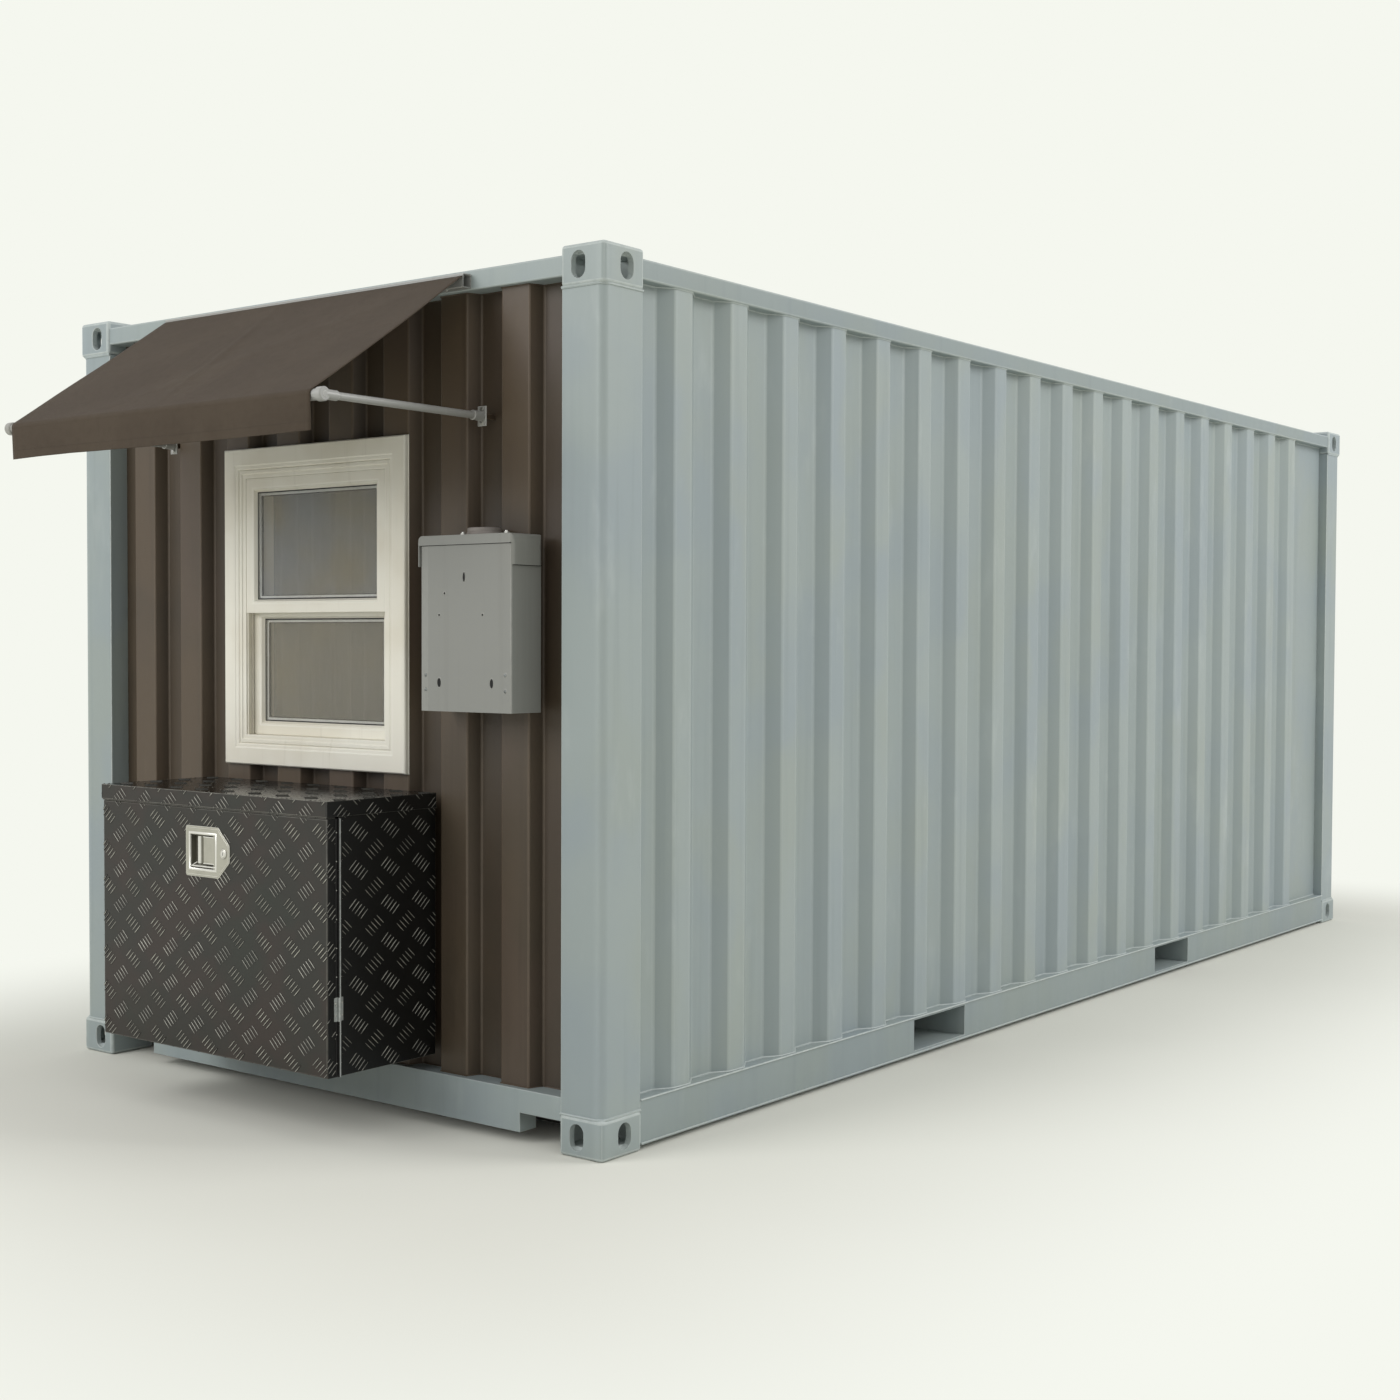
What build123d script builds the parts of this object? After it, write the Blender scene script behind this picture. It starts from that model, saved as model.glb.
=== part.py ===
from build123d import *
import math
import os

# A 20 ft shipping container converted into a small cabin.
# Millimetres, +X across the width, +Y from the cabin's front end to its cargo doors, +Z up.
# The origin lies on the ground, under the middle of the whole object, awning included.

# Container shell, ISO 20 ft x 8 ft x 8 ft 6 in
length = 6058
width = 2438
height = 2591
awning_reach = 612

casting_x = 162
casting_y = 178
casting_z = 118
casting_plate = 28.5
casting_wall = 20
casting_inner_wall = 12
casting_corner = 16
slot_length = 124.5
slot_width = 63.5
slot_from_side = 89.5
slot_from_end = 102.5
end_hole_width = 52
side_hole_width = 58
face_hole_height = 78
end_hole_from_side = 96
side_hole_from_end = 100

skin_inset = 6
beam_inset = 8
post_wall = 6
post_corner = 26
sheet = 2

# Rails, sills and headers
top_rail_drop = 25
top_rail = 60
top_rail_wall = 4
beam_depth = 72
rear_header_height = 110
sill_top = 164
sill_bottom = 36
sill_wall = 5
notch_top = 94
notch_left = 228
notch_right = 160
rail_top = 148
rail_bottom = 16
rail_web = 5
rail_flange = 50
rail_lip = 5

# Fork pockets, 2050 mm apart
pocket_width = 360
pocket_spacing = 2050
pocket_mid_from_front = 2917
pocket_low = 29
pocket_high = 138
pocket_plate = 5

# Floor and what carries it
floor_board = 28
joist_height = 122
joist_flange = 45
joist_plate = 4
joist_pitch = 292
joist_gap = 12

# Side wall corrugation
side_wall_inset = 14
side_outer = 78
side_slope = 54
side_inner = 92
side_depth = 36
side_first = 342
side_flat_end = 300

# Front wall corrugation
front_wall_inset = 30
front_outer = 110
front_slope = 18
front_inner = 104
front_depth = 45.6
front_mid = -19

# Roof corrugation
roof_outer = 91
roof_slope = 13.5
roof_inner = 91
roof_depth = 20
roof_flat_end = 100
roof_drop = 4
roof_play = 0.3

# Window
window_mid = -15
window_low = 1063
window_high = 2101
window_width = 856
trim_face = 70
trim_thick = 18
frame_face = 28
frame_depth = 122
frame_setback = 6
sash_stile = 45
sash_rail = 39
sash_top_rail = 43
sash_thick = 30
meeting_low = 1561
meeting_overlap = 27
glass_thick = 5
glass_setback = 13

# Awning
awning_width = 1398
fabric = 4
fabric_play = 0.3
bar_radius = 16
bar_drop = 430
valance_drop = 99
fabric_head_drop = 21
head_rail_depth = 35
head_rail_drop = 14
head_rail_height = 42
head_rail_wall = 3
arm_x = 726
arm_radius = 11
knuckle_radius = 20
knuckle_width = 26
bracket_width = 34
bracket_height = 59
bracket_plate = 5
spacer_width = 16

# Electric service box
box_left = 595
box_right = 958
box_low = 1266
box_high = 1777
box_depth = 122
box_sheet = 2
cover_thick = 4
cover_bevel = 30
cover_edge = 1
hood_side = 90
hood_lip = 28
hood_out = 7.5
hood_sheet = 3
hub_radius = 54
hub_height = 22
hub_base_height = 11
hub_x = 790
hub_collar_radius = 46

# Toolbox
tool_width = 1056
tool_depth = 432
tool_low = 214
tool_high = 1012
tool_sheet = 3
door_depth = 40
door_gap = 5
cap_band = 46
cap_out = 4
cap_play = 1

# Toolbox hinge
hinge_radius = 4.5
hinge_pin = 2
hinge_play = 0.3
hinge_stand = 0.5
hinge_leaf = 1.7
hinge_leaf_width = 12
butt_low = 376
butt_high = 444
butt_leaf_width = 17
knuckle_pitch = 148

# Toolbox latch
latch_width = 206
latch_height = 154
latch_tip = 52
latch_mid_z = 830
latch_mid_x = -5
latch_plate_thick = 2.5
latch_corner = 8
tray_width = 118
tray_height = 104
tray_depth = 20
tray_wall = 2
tray_from_left = 22
paddle_gap = 5
paddle_thick = 3
paddle_pin = 4
paddle_reach = 78
cylinder_radius = 11
cylinder_out = 4

# Cargo doors
leaf_gap = 10
leaf_setback = 52
leaf_thick = 50
leaf_frame = 90
panel_faces = 5
panel_outer = 250
panel_slope = 54
panel_inner = 72
panel_depth = 36
leaf_side_play = 7
leaf_end_play = 5
rod_radius = 17
rod_stand = 22
rod_play = 0.2
rod_guide = 60
rod_from_mid = 160
rod_from_side = 180
handle_length = 300
handle_z = 1080
handle_step = 140
handle_height = 30
handle_thick = 8
hinge_blade_height = 70
hinge_blade_thick = 8
hinge_blade_length = 150
hinge_knuckle = 14
hinge_count = 4

# Places worked out from the sizes
front_y = -(length + awning_reach) / 2 + awning_reach
rear_y = (length + awning_reach) / 2
mid_y = (front_y + rear_y) / 2
half = width / 2
inner_x = half - casting_x
inner_front = front_y + casting_y
inner_rear = rear_y - casting_y
post_low = casting_z
post_high = height - casting_z
skin_x = half - skin_inset
beam_top = height - top_rail_drop
wall_top = beam_top - top_rail
beam_front = front_y + beam_inset
beam_rear = rear_y - beam_inset
room_front = beam_front + beam_depth
room_rear = beam_rear - beam_depth
wall_y = front_y + front_wall_inset
wall_x = half - side_wall_inset
flange_x = skin_x - rail_flange
web_x = skin_x - rail_web
leaf_y1 = rear_y - leaf_setback
leaf_y0 = leaf_y1 - leaf_thick
leaf_x0 = leaf_gap / 2
leaf_x1 = inner_x - leaf_side_play
leaf_low = sill_top + leaf_end_play
leaf_high = beam_top - rear_header_height - leaf_end_play
bar_z = beam_top - bar_drop
valance_low = bar_z - valance_drop
fabric_head_z = beam_top - fabric_head_drop
head_rail_high = beam_top - head_rail_drop
head_rail_low = head_rail_high - head_rail_height
pocket_mids = [
    front_y + pocket_mid_from_front - pocket_spacing / 2,
    front_y + pocket_mid_from_front + pocket_spacing / 2,
]


def block(x0, x1, y0, y1, z0, z1):
    """A box between two corners."""
    centre = Pos((x0 + x1) / 2, (y0 + y1) / 2, (z0 + z1) / 2)
    return centre * Box(x1 - x0, y1 - y0, z1 - z0)


def flipped_x(shape):
    """The same shape on the other side of the cabin."""
    return mirror(shape, Plane.YZ)


def prism(points, depth, plane=Plane.XY):
    """A straight solid with a polygon as its section."""
    return extrude(plane * Polygon(*points, align=None), depth, dir=plane.z_dir)


def faces_in(run, outer, slope, inner):
    """How many outer faces of a corrugated sheet start within a run."""
    return int((run - outer) / (outer + inner + 2 * slope)) + 1


def corrugated(first, faces, outer, slope, inner, depth, start, end):
    """Outline of a corrugated sheet as (along, inward) points, one skin and then the other."""
    shift = sheet * math.tan(math.atan2(depth, slope) / 2)
    pitch = outer + slope + inner + slope
    near = [(start, depth)]
    far = [(start, depth + sheet)]
    for number in range(faces):
        edge = first + number * pitch
        near += [(edge - slope, depth), (edge, 0)]
        near += [(edge + outer, 0), (edge + outer + slope, depth)]
        far += [(edge - slope + shift, depth + sheet), (edge + shift, sheet)]
        far += [(edge + outer - shift, sheet), (edge + outer + slope - shift, depth + sheet)]
    near.append((end, depth))
    far.append((end, depth + sheet))
    return near + far[::-1]


def casting(x_sign, y_sign, is_top):
    """One hollow corner casting with an oval hole in its end, its side and its flat face."""
    x_out = half
    x_in = half - casting_x
    y_out = length / 2
    y_in = y_out - casting_y
    body = block(x_in, x_out, y_in, y_out, 0, casting_z)
    corner = body.edges().filter_by(Axis.Z).sort_by(lambda edge: edge.center().X + edge.center().Y)[-1]
    body = fillet(corner, casting_corner)
    cavity = block(
        x_in + casting_inner_wall,
        x_out - casting_wall,
        y_in + casting_inner_wall,
        y_out - casting_wall,
        casting_plate,
        casting_z - casting_inner_wall,
    )
    slot_place = Pos(x_out - slot_from_side, y_out - slot_from_end, 0)
    slot = extrude(slot_place * Rot(0, 0, 90) * SlotOverall(slot_length, slot_width), casting_plate)
    end_plane = Plane((x_out - end_hole_from_side, y_out, casting_z / 2), x_dir=(0, 0, 1), z_dir=(0, 1, 0))
    end_hole = extrude(end_plane * SlotOverall(face_hole_height, end_hole_width), -casting_wall)
    side_plane = Plane((x_out, y_out - side_hole_from_end, casting_z / 2), x_dir=(0, 0, 1), z_dir=(1, 0, 0))
    side_hole = extrude(side_plane * SlotOverall(face_hole_height, side_hole_width), -casting_wall)
    body = body - cavity - slot - end_hole - side_hole
    if is_top:
        body = Pos(0, 0, height) * mirror(body, Plane.XY)
    if y_sign < 0:
        body = mirror(body, Plane.XZ)
    if x_sign < 0:
        body = flipped_x(body)
    return Pos(0, mid_y, 0) * body


def corner_castings(x_sign, y_sign):
    """The bottom and the top casting of one corner."""
    return Part() + [casting(x_sign, y_sign, False), casting(x_sign, y_sign, True)]


def post(y_face, y_sign):
    """A hollow corner post on the right, rounded at its outer edge."""
    y_out = y_face - y_sign * skin_inset
    y_in = y_face - y_sign * casting_y
    low = min(y_out, y_in)
    high = max(y_out, y_in)
    body = block(inner_x, skin_x, low, high, post_low, post_high)
    outer = body.edges().filter_by(Axis.Z).sort_by(lambda edge: edge.center().X + y_sign * edge.center().Y)[-1]
    body = fillet(outer, post_corner)
    core = block(inner_x + post_wall, skin_x - post_wall, low + post_wall, high - post_wall, post_low, post_high)
    edge = core.edges().filter_by(Axis.Z).sort_by(lambda edge: edge.center().X + y_sign * edge.center().Y)[-1]
    return body - fillet(edge, post_corner - post_wall)


def post_pair(y_face, y_sign):
    """Both posts of one end."""
    right = post(y_face, y_sign)
    return Part() + [right, flipped_x(right)]


def tube_block(x0, x1, y0, y1, z0, z1, wall, along):
    """A rectangular tube, open at the ends of one axis."""
    gaps = [0 if along == axis else wall for axis in "xyz"]
    core = block(x0 + gaps[0], x1 - gaps[0], y0 + gaps[1], y1 - gaps[1], z0 + gaps[2], z1 - gaps[2])
    return block(x0, x1, y0, y1, z0, z1) - core


def top_side_rails():
    """The square tubes along both top edges."""
    right = tube_block(
        skin_x - top_rail, skin_x, inner_front, inner_rear, wall_top, beam_top, top_rail_wall, "y"
    )
    return Part() + [right, flipped_x(right)]


def header(y0, y1, low):
    """A tube across one end, under the roof's edge."""
    return tube_block(-inner_x, inner_x, y0, y1, low, beam_top, top_rail_wall, "x")


def sill_outline(inset):
    """The sill seen from the front, with a notch beside each casting."""
    low = sill_bottom + inset
    high = sill_top - inset
    step = notch_top + inset
    left = -inner_x + notch_left + inset
    right = inner_x - notch_right - inset
    end = inner_x
    return [
        (-end, high), (-end, step), (left, step), (left, low),
        (right, low), (right, step), (end, step), (end, high),
    ]


def sill(y0, y1):
    """A hollow sill across one end of the base."""
    outer = prism(sill_outline(0), y1 - y0, Plane((0, y1, 0), x_dir=(1, 0, 0), z_dir=(0, -1, 0)))
    depth = y1 - y0 - 2 * sill_wall
    core = prism(sill_outline(sill_wall), depth, Plane((0, y1 - sill_wall, 0), x_dir=(1, 0, 0), z_dir=(0, -1, 0)))
    return outer - core


def bottom_rail():
    """The right channel along the base, cut for the fork pockets, with a lip that runs on below them."""
    web = block(web_x, skin_x, inner_front, inner_rear, rail_bottom, rail_top)
    upper = block(flange_x, skin_x, inner_front, inner_rear, rail_top - rail_web, rail_top)
    lower = block(flange_x, skin_x + rail_lip, inner_front, inner_rear, rail_bottom, rail_bottom + rail_web)
    rail = web + upper + lower
    for mid in pocket_mids:
        rail -= block(
            web_x, skin_x, mid - pocket_width / 2, mid + pocket_width / 2, pocket_low, pocket_high
        )
    return rail


def fork_pockets():
    """Two tunnels across the base for a forklift's tines."""
    tunnels = []
    for mid in pocket_mids:
        tunnels.append(tube_block(
            -web_x,
            web_x,
            mid - pocket_width / 2 - pocket_plate,
            mid + pocket_width / 2 + pocket_plate,
            pocket_low - pocket_plate,
            pocket_high + pocket_plate,
            pocket_plate,
            "x",
        ))
    return Part() + tunnels


def joist(y):
    """One channel under the floor."""
    high = rail_top
    low = rail_top - joist_height
    points = [
        (y, low), (y + joist_flange, low), (y + joist_flange, low + joist_plate),
        (y + joist_plate, low + joist_plate), (y + joist_plate, high - joist_plate),
        (y + joist_flange, high - joist_plate), (y + joist_flange, high), (y, high),
    ]
    return prism(points, 2 * flange_x, Plane((-flange_x, 0, 0), x_dir=(0, 1, 0), z_dir=(1, 0, 0)))


def joists():
    """The floor's channels, left out where a fork pocket crosses."""
    reach = pocket_width / 2 + pocket_plate + joist_gap
    kept = []
    count = int((inner_rear - inner_front - joist_flange) / joist_pitch) + 1
    for number in range(count):
        y = inner_front + joist_gap + number * joist_pitch
        clear = all(y > mid + reach or y + joist_flange < mid - reach for mid in pocket_mids)
        if clear:
            kept.append(joist(y))
    for mid in pocket_mids:
        kept.append(joist(mid + reach))
    return Part() + kept


def floor():
    """The plywood floor, cut round the four corner posts."""
    clear_x = wall_x - side_depth - sheet - joist_gap / 2
    top = rail_top + floor_board
    middle = block(-clear_x, clear_x, inner_front, inner_rear, rail_top, top)
    return middle + block(-inner_x, inner_x, room_front, leaf_y0 - leaf_end_play, rail_top, top)


def side_wall():
    """The right corrugated wall."""
    first = front_y + side_first
    faces = faces_in(inner_rear - side_flat_end - side_slope - first, side_outer, side_slope, side_inner)
    outline = corrugated(
        first, faces, side_outer, side_slope, side_inner, side_depth, inner_front, inner_rear
    )
    points = [(wall_x - inward, along) for along, inward in outline]
    return prism(points, wall_top - rail_top, Plane.XY.offset(rail_top))


def front_wall():
    """The corrugated end wall with the window cut through it."""
    pitch = front_outer + front_inner + 2 * front_slope
    run = inner_x - abs(front_mid) - front_slope + front_inner / 2
    faces = 2 * int(run / pitch)
    first = front_mid - ((faces - 1) * pitch + front_outer) / 2
    outline = corrugated(
        first, faces, front_outer, front_slope, front_inner, front_depth, -inner_x, inner_x
    )
    points = [(along, wall_y + inward) for along, inward in outline]
    wall = prism(points, wall_top - sill_top, Plane.XY.offset(sill_top))
    hole_half = window_width / 2 - trim_face
    return wall - block(
        window_mid - hole_half,
        window_mid + hole_half,
        wall_y - sheet,
        wall_y + front_depth + 2 * sheet,
        window_low + trim_face,
        window_high - trim_face,
    )


def roof():
    """The corrugated roof sheet between the top rails."""
    pitch = roof_outer + roof_inner + 2 * roof_slope
    run = room_rear - room_front
    faces = faces_in(run - 2 * roof_flat_end, roof_outer, roof_slope, roof_inner)
    first = room_front + (run - (faces - 1) * pitch - roof_outer) / 2
    outline = corrugated(
        first, faces, roof_outer, roof_slope, roof_inner, roof_depth, room_front, room_rear
    )
    points = [(along, beam_top - roof_drop - inward) for along, inward in outline]
    span = 2 * (skin_x - top_rail - roof_play)
    middle = prism(points, span, Plane((-span / 2, 0, 0), x_dir=(0, 1, 0), z_dir=(1, 0, 0)))
    for sign in (-1, 1):
        x_low = min(sign * inner_x, sign * (inner_x + span))
        x_high = max(sign * inner_x, sign * (inner_x + span))
        middle -= block(x_low, x_high, room_front - 1, inner_front, wall_top, beam_top)
        middle -= block(x_low, x_high, inner_rear, room_rear + 1, wall_top, beam_top)
    return middle


def ring(x0, x1, y0, y1, z0, z1, side, top, bottom):
    """A rectangular frame that stands across Y."""
    return block(x0, x1, y0, y1, z0, z1) - block(x0 + side, x1 - side, y0, y1, z0 + bottom, z1 - top)


window_left = window_mid - window_width / 2
window_right = window_mid + window_width / 2
trim_front = wall_y - trim_thick
frame_front = trim_front + frame_setback
upper_front = frame_front + frame_setback
lower_front = upper_front + sash_thick
sash_left = window_left + trim_face + frame_face
sash_right = window_right - trim_face - frame_face
sash_low = window_low + trim_face + frame_face
sash_high = window_high - trim_face - frame_face


def window_trim():
    """The flat trim round the window, on the wall's outer faces."""
    return ring(
        window_left, window_right, trim_front, wall_y, window_low, window_high, trim_face, trim_face, trim_face
    )


def window_frame():
    """The frame that lines the hole in the wall."""
    return ring(
        window_left + trim_face,
        window_right - trim_face,
        frame_front,
        frame_front + frame_depth,
        window_low + trim_face,
        window_high - trim_face,
        frame_face,
        frame_face,
        frame_face,
    )


def upper_sash():
    """The outer sash."""
    return ring(
        sash_left, sash_right, upper_front, lower_front, meeting_low, sash_high, sash_stile, sash_rail, sash_rail
    )


def lower_sash():
    """The inner sash, one sash thickness further in."""
    return ring(
        sash_left,
        sash_right,
        lower_front,
        lower_front + sash_thick,
        sash_low,
        meeting_low + meeting_overlap,
        sash_stile,
        sash_top_rail,
        sash_rail,
    )


def window_glass():
    """One pane in each sash."""
    x0 = sash_left + sash_stile
    x1 = sash_right - sash_stile
    upper_y = upper_front + glass_setback
    lower_y = lower_front + glass_setback
    upper = block(x0, x1, upper_y, upper_y + glass_thick, meeting_low + sash_rail, sash_high - sash_rail)
    lower_top = meeting_low + meeting_overlap - sash_top_rail
    lower = block(x0, x1, lower_y, lower_y + glass_thick, sash_low + sash_rail, lower_top)
    return Part() + [upper, lower]


bar_y = front_y - awning_reach + bar_radius + fabric_play + fabric
head_y = beam_front - head_rail_depth
fold_radius = bar_radius + fabric_play + fabric


def slope_angle():
    """Angle of the canopy below level, tangent to the front fold."""
    run = head_y - fabric_play - bar_y
    drop = fabric_head_z - bar_z
    return math.atan2(drop, run) - math.asin(fold_radius / math.hypot(run, drop))


def canopy():
    """The cloth: a straight slope, a round fold over the front bar and a hanging valance."""
    angle = slope_angle()
    normal = (-math.sin(angle), math.cos(angle))
    start_y = head_y - fabric_play

    def skin(radius):
        touch = (bar_y + radius * normal[0], bar_z + radius * normal[1])
        start = (start_y, touch[1] + (start_y - touch[0]) * math.tan(angle))
        turn = math.pi / 4 + angle / 2
        middle = (bar_y - radius * math.sin(turn), bar_z + radius * math.cos(turn))
        return start, touch, middle, (bar_y - radius, bar_z), (bar_y - radius, valance_low)

    outer = skin(fold_radius)
    inner = skin(fold_radius - fabric)
    edges = [
        Line(outer[0], outer[1]), ThreePointArc(outer[1], outer[2], outer[3]), Line(outer[3], outer[4]),
        Line(outer[4], inner[4]), Line(inner[4], inner[3]), ThreePointArc(inner[3], inner[2], inner[1]),
        Line(inner[1], inner[0]), Line(inner[0], outer[0]),
    ]
    plane = Plane((-awning_width / 2, 0, 0), x_dir=(0, 1, 0), z_dir=(1, 0, 0))
    return extrude(plane * make_face(edges), awning_width)


def head_rail():
    """The rail on the front header that holds the cloth's upper edge."""
    return tube_block(
        -awning_width / 2,
        awning_width / 2,
        head_y,
        beam_front,
        head_rail_low,
        head_rail_high,
        head_rail_wall,
        "x",
    )


def rod_along(start, end, radius):
    """A round rod between two points."""
    direction = Vector(*end) - Vector(*start)
    return extrude(Plane(start, z_dir=direction) * Circle(radius), direction.length)


def front_bar():
    """The round bar inside the cloth's front fold."""
    reach = arm_x - knuckle_width / 2
    return rod_along((-reach, bar_y, bar_z), (reach, bar_y, bar_z), bar_radius)


def awning_arm():
    """The right arm with its knuckle on the bar's end."""
    knuckle = rod_along(
        (arm_x - knuckle_width / 2, bar_y, bar_z), (arm_x + knuckle_width / 2, bar_y, bar_z), knuckle_radius
    )
    return knuckle + rod_along((arm_x, bar_y, bar_z), (arm_x, wall_y - bracket_plate, bar_z), arm_radius)


def arm_bracket():
    """The right arm's wall plate, on a spacer that stands in the wall's groove."""
    plate = block(
        arm_x - bracket_width / 2,
        arm_x + bracket_width / 2,
        wall_y - bracket_plate,
        wall_y,
        bar_z - bracket_height / 2,
        bar_z + bracket_height / 2,
    )
    spacer = block(
        arm_x - spacer_width / 2,
        arm_x + spacer_width / 2,
        wall_y,
        wall_y + front_depth,
        bar_z - spacer_width / 2,
        bar_z + spacer_width / 2,
    )
    return plate + spacer


def arm_brackets():
    """Both wall plates."""
    right = arm_bracket()
    return Part() + [right, flipped_x(right)]


box_front = wall_y - box_depth


def electric_box():
    """The service box's open tray, on the wall's outer faces."""
    outer = block(box_left, box_right, box_front, wall_y, box_low, box_high)
    return outer - block(
        box_left + box_sheet,
        box_right - box_sheet,
        box_front,
        wall_y - box_sheet,
        box_low + box_sheet,
        box_high - box_sheet,
    )


def electric_cover():
    """The screwed front cover, bevelled along its left edge."""
    face = box_front - cover_thick
    points = [
        (box_left, box_front), (box_right, box_front), (box_right, face),
        (box_left + cover_bevel, face), (box_left, box_front - cover_edge),
    ]
    top = box_high - hood_sheet
    return prism(points, top - box_low, Plane.XY.offset(box_low))


def electric_hood():
    """The rain hood: a top, deep sides and a short front lip."""
    y0 = box_front - hood_out
    x0 = box_left - hood_out
    x1 = box_right + hood_out
    top = box_high + hood_sheet
    outer = block(x0, x1, y0, wall_y, top - hood_side, top)
    core = block(x0 + hood_sheet, x1 - hood_sheet, y0 + hood_sheet, wall_y, top - hood_side, box_high)
    window = block(x0 + hood_sheet, x1 - hood_sheet, y0, y0 + hood_sheet, top - hood_side, top - hood_lip)
    return outer - core - window


def conduit_hub():
    """The closed round hub on the hood."""
    y = wall_y - box_depth / 2
    low = box_high + hood_sheet
    collar = rod_along((hub_x, y, low), (hub_x, y, low + hub_base_height), hub_radius)
    return collar + rod_along((hub_x, y, low), (hub_x, y, low + hub_height), hub_collar_radius)


tool_half = tool_width / 2
tool_front = wall_y - tool_depth
door_back = tool_front + door_depth
body_front = door_back + door_gap
door_high = tool_high - cap_band - door_gap


def toolbox_body():
    """The toolbox without its top: back, bottom and two sides."""
    outer = block(-tool_half, tool_half, body_front, wall_y, tool_low, tool_high - tool_sheet)
    return outer - block(
        -tool_half + tool_sheet,
        tool_half - tool_sheet,
        body_front,
        wall_y - tool_sheet,
        tool_low + tool_sheet,
        tool_high - tool_sheet,
    )


def toolbox_cap():
    """The toolbox's top plate, with a band down in front, above the door, and down both sides."""
    x = tool_half + cap_out
    front = tool_front - cap_out
    outer = block(-x, x, front, wall_y, tool_high - cap_band, tool_high)
    return outer - block(
        -tool_half - cap_play,
        tool_half + cap_play,
        front + tool_sheet,
        wall_y,
        tool_high - cap_band,
        tool_high - tool_sheet,
    )


def toolbox_door():
    """The door as a pan, with the latch tray's hole cut through its face."""
    outer = block(-tool_half, tool_half, tool_front, door_back, tool_low, door_high)
    pan = outer - block(
        -tool_half + tool_sheet,
        tool_half - tool_sheet,
        tool_front + tool_sheet,
        door_back,
        tool_low + tool_sheet,
        door_high - tool_sheet,
    )
    return pan - block(
        tray_left - tray_wall,
        tray_left + tray_width + tray_wall,
        tool_front,
        tool_front + tool_sheet,
        latch_mid_z - tray_height / 2 - tray_wall,
        latch_mid_z + tray_height / 2 + tray_wall,
    ) - rod_along(
        (cylinder_x, tool_front, latch_mid_z), (cylinder_x, tool_front + tool_sheet, latch_mid_z), cylinder_radius
    )


latch_left = latch_mid_x - latch_width / 2
latch_right = latch_mid_x + latch_width / 2
tray_left = latch_left + tray_from_left
cylinder_x = latch_right - latch_tip / 2
latch_front = tool_front - latch_plate_thick
paddle_axis_x = tray_left + tray_width - paddle_gap - paddle_pin
paddle_axis_y = latch_front + paddle_thick / 2 + paddle_pin


def latch_plate():
    """The latch's steel plate, pointed at its lock side, with a tray behind its opening."""
    low = latch_mid_z - latch_height / 2
    high = latch_mid_z + latch_height / 2
    shoulder = latch_right - latch_tip
    points = [
        (latch_left, low), (shoulder, low), (latch_right, latch_mid_z - latch_tip / 2),
        (latch_right, latch_mid_z + latch_tip / 2), (shoulder, high), (latch_left, high),
    ]
    plate = prism(points, latch_plate_thick, Plane((0, tool_front, 0), x_dir=(1, 0, 0), z_dir=(0, -1, 0)))
    corners = plate.edges().filter_by(Axis.Y)
    plate = fillet(corners, latch_corner)
    x0 = tray_left
    x1 = tray_left + tray_width
    z0 = latch_mid_z - tray_height / 2
    z1 = latch_mid_z + tray_height / 2
    tray = block(
        x0 - tray_wall, x1 + tray_wall, tool_front, tool_front + tray_depth, z0 - tray_wall, z1 + tray_wall
    )
    space = block(x0, x1, latch_front, tool_front + tray_depth - tray_wall, z0, z1)
    barrel = rod_along(
        (cylinder_x, latch_front, latch_mid_z), (cylinder_x, tool_front, latch_mid_z), cylinder_radius
    )
    return plate + tray - space - barrel


def latch_paddle():
    """The paddle in the tray, on an upright pin near the lock."""
    z0 = latch_mid_z - tray_height / 2
    z1 = latch_mid_z + tray_height / 2
    pin = rod_along(
        (paddle_axis_x, paddle_axis_y, z0 + hinge_play), (paddle_axis_x, paddle_axis_y, z1 - hinge_play), paddle_pin
    )
    flap = block(
        paddle_axis_x - paddle_reach,
        paddle_axis_x,
        paddle_axis_y - paddle_pin,
        paddle_axis_y - paddle_pin + paddle_thick,
        z0 + paddle_gap,
        z1 - paddle_gap,
    )
    return pin + flap


def lock_cylinder():
    """The key cylinder at the plate's tip."""
    return rod_along(
        (cylinder_x, latch_front - cylinder_out, latch_mid_z),
        (cylinder_x, tool_front + tray_depth, latch_mid_z),
        cylinder_radius,
    )


hinge_x = tool_half + hinge_stand + hinge_radius
hinge_y = (door_back + body_front) / 2


def hinge_spans():
    """Heights of the hinge's knuckles, by turns on the body and on the door."""
    count = 2 * int((door_high - tool_low) / knuckle_pitch / 2) + 1
    step = (door_high - tool_low) / count
    return [(tool_low + number * step, tool_low + (number + 1) * step) for number in range(count)]


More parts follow.
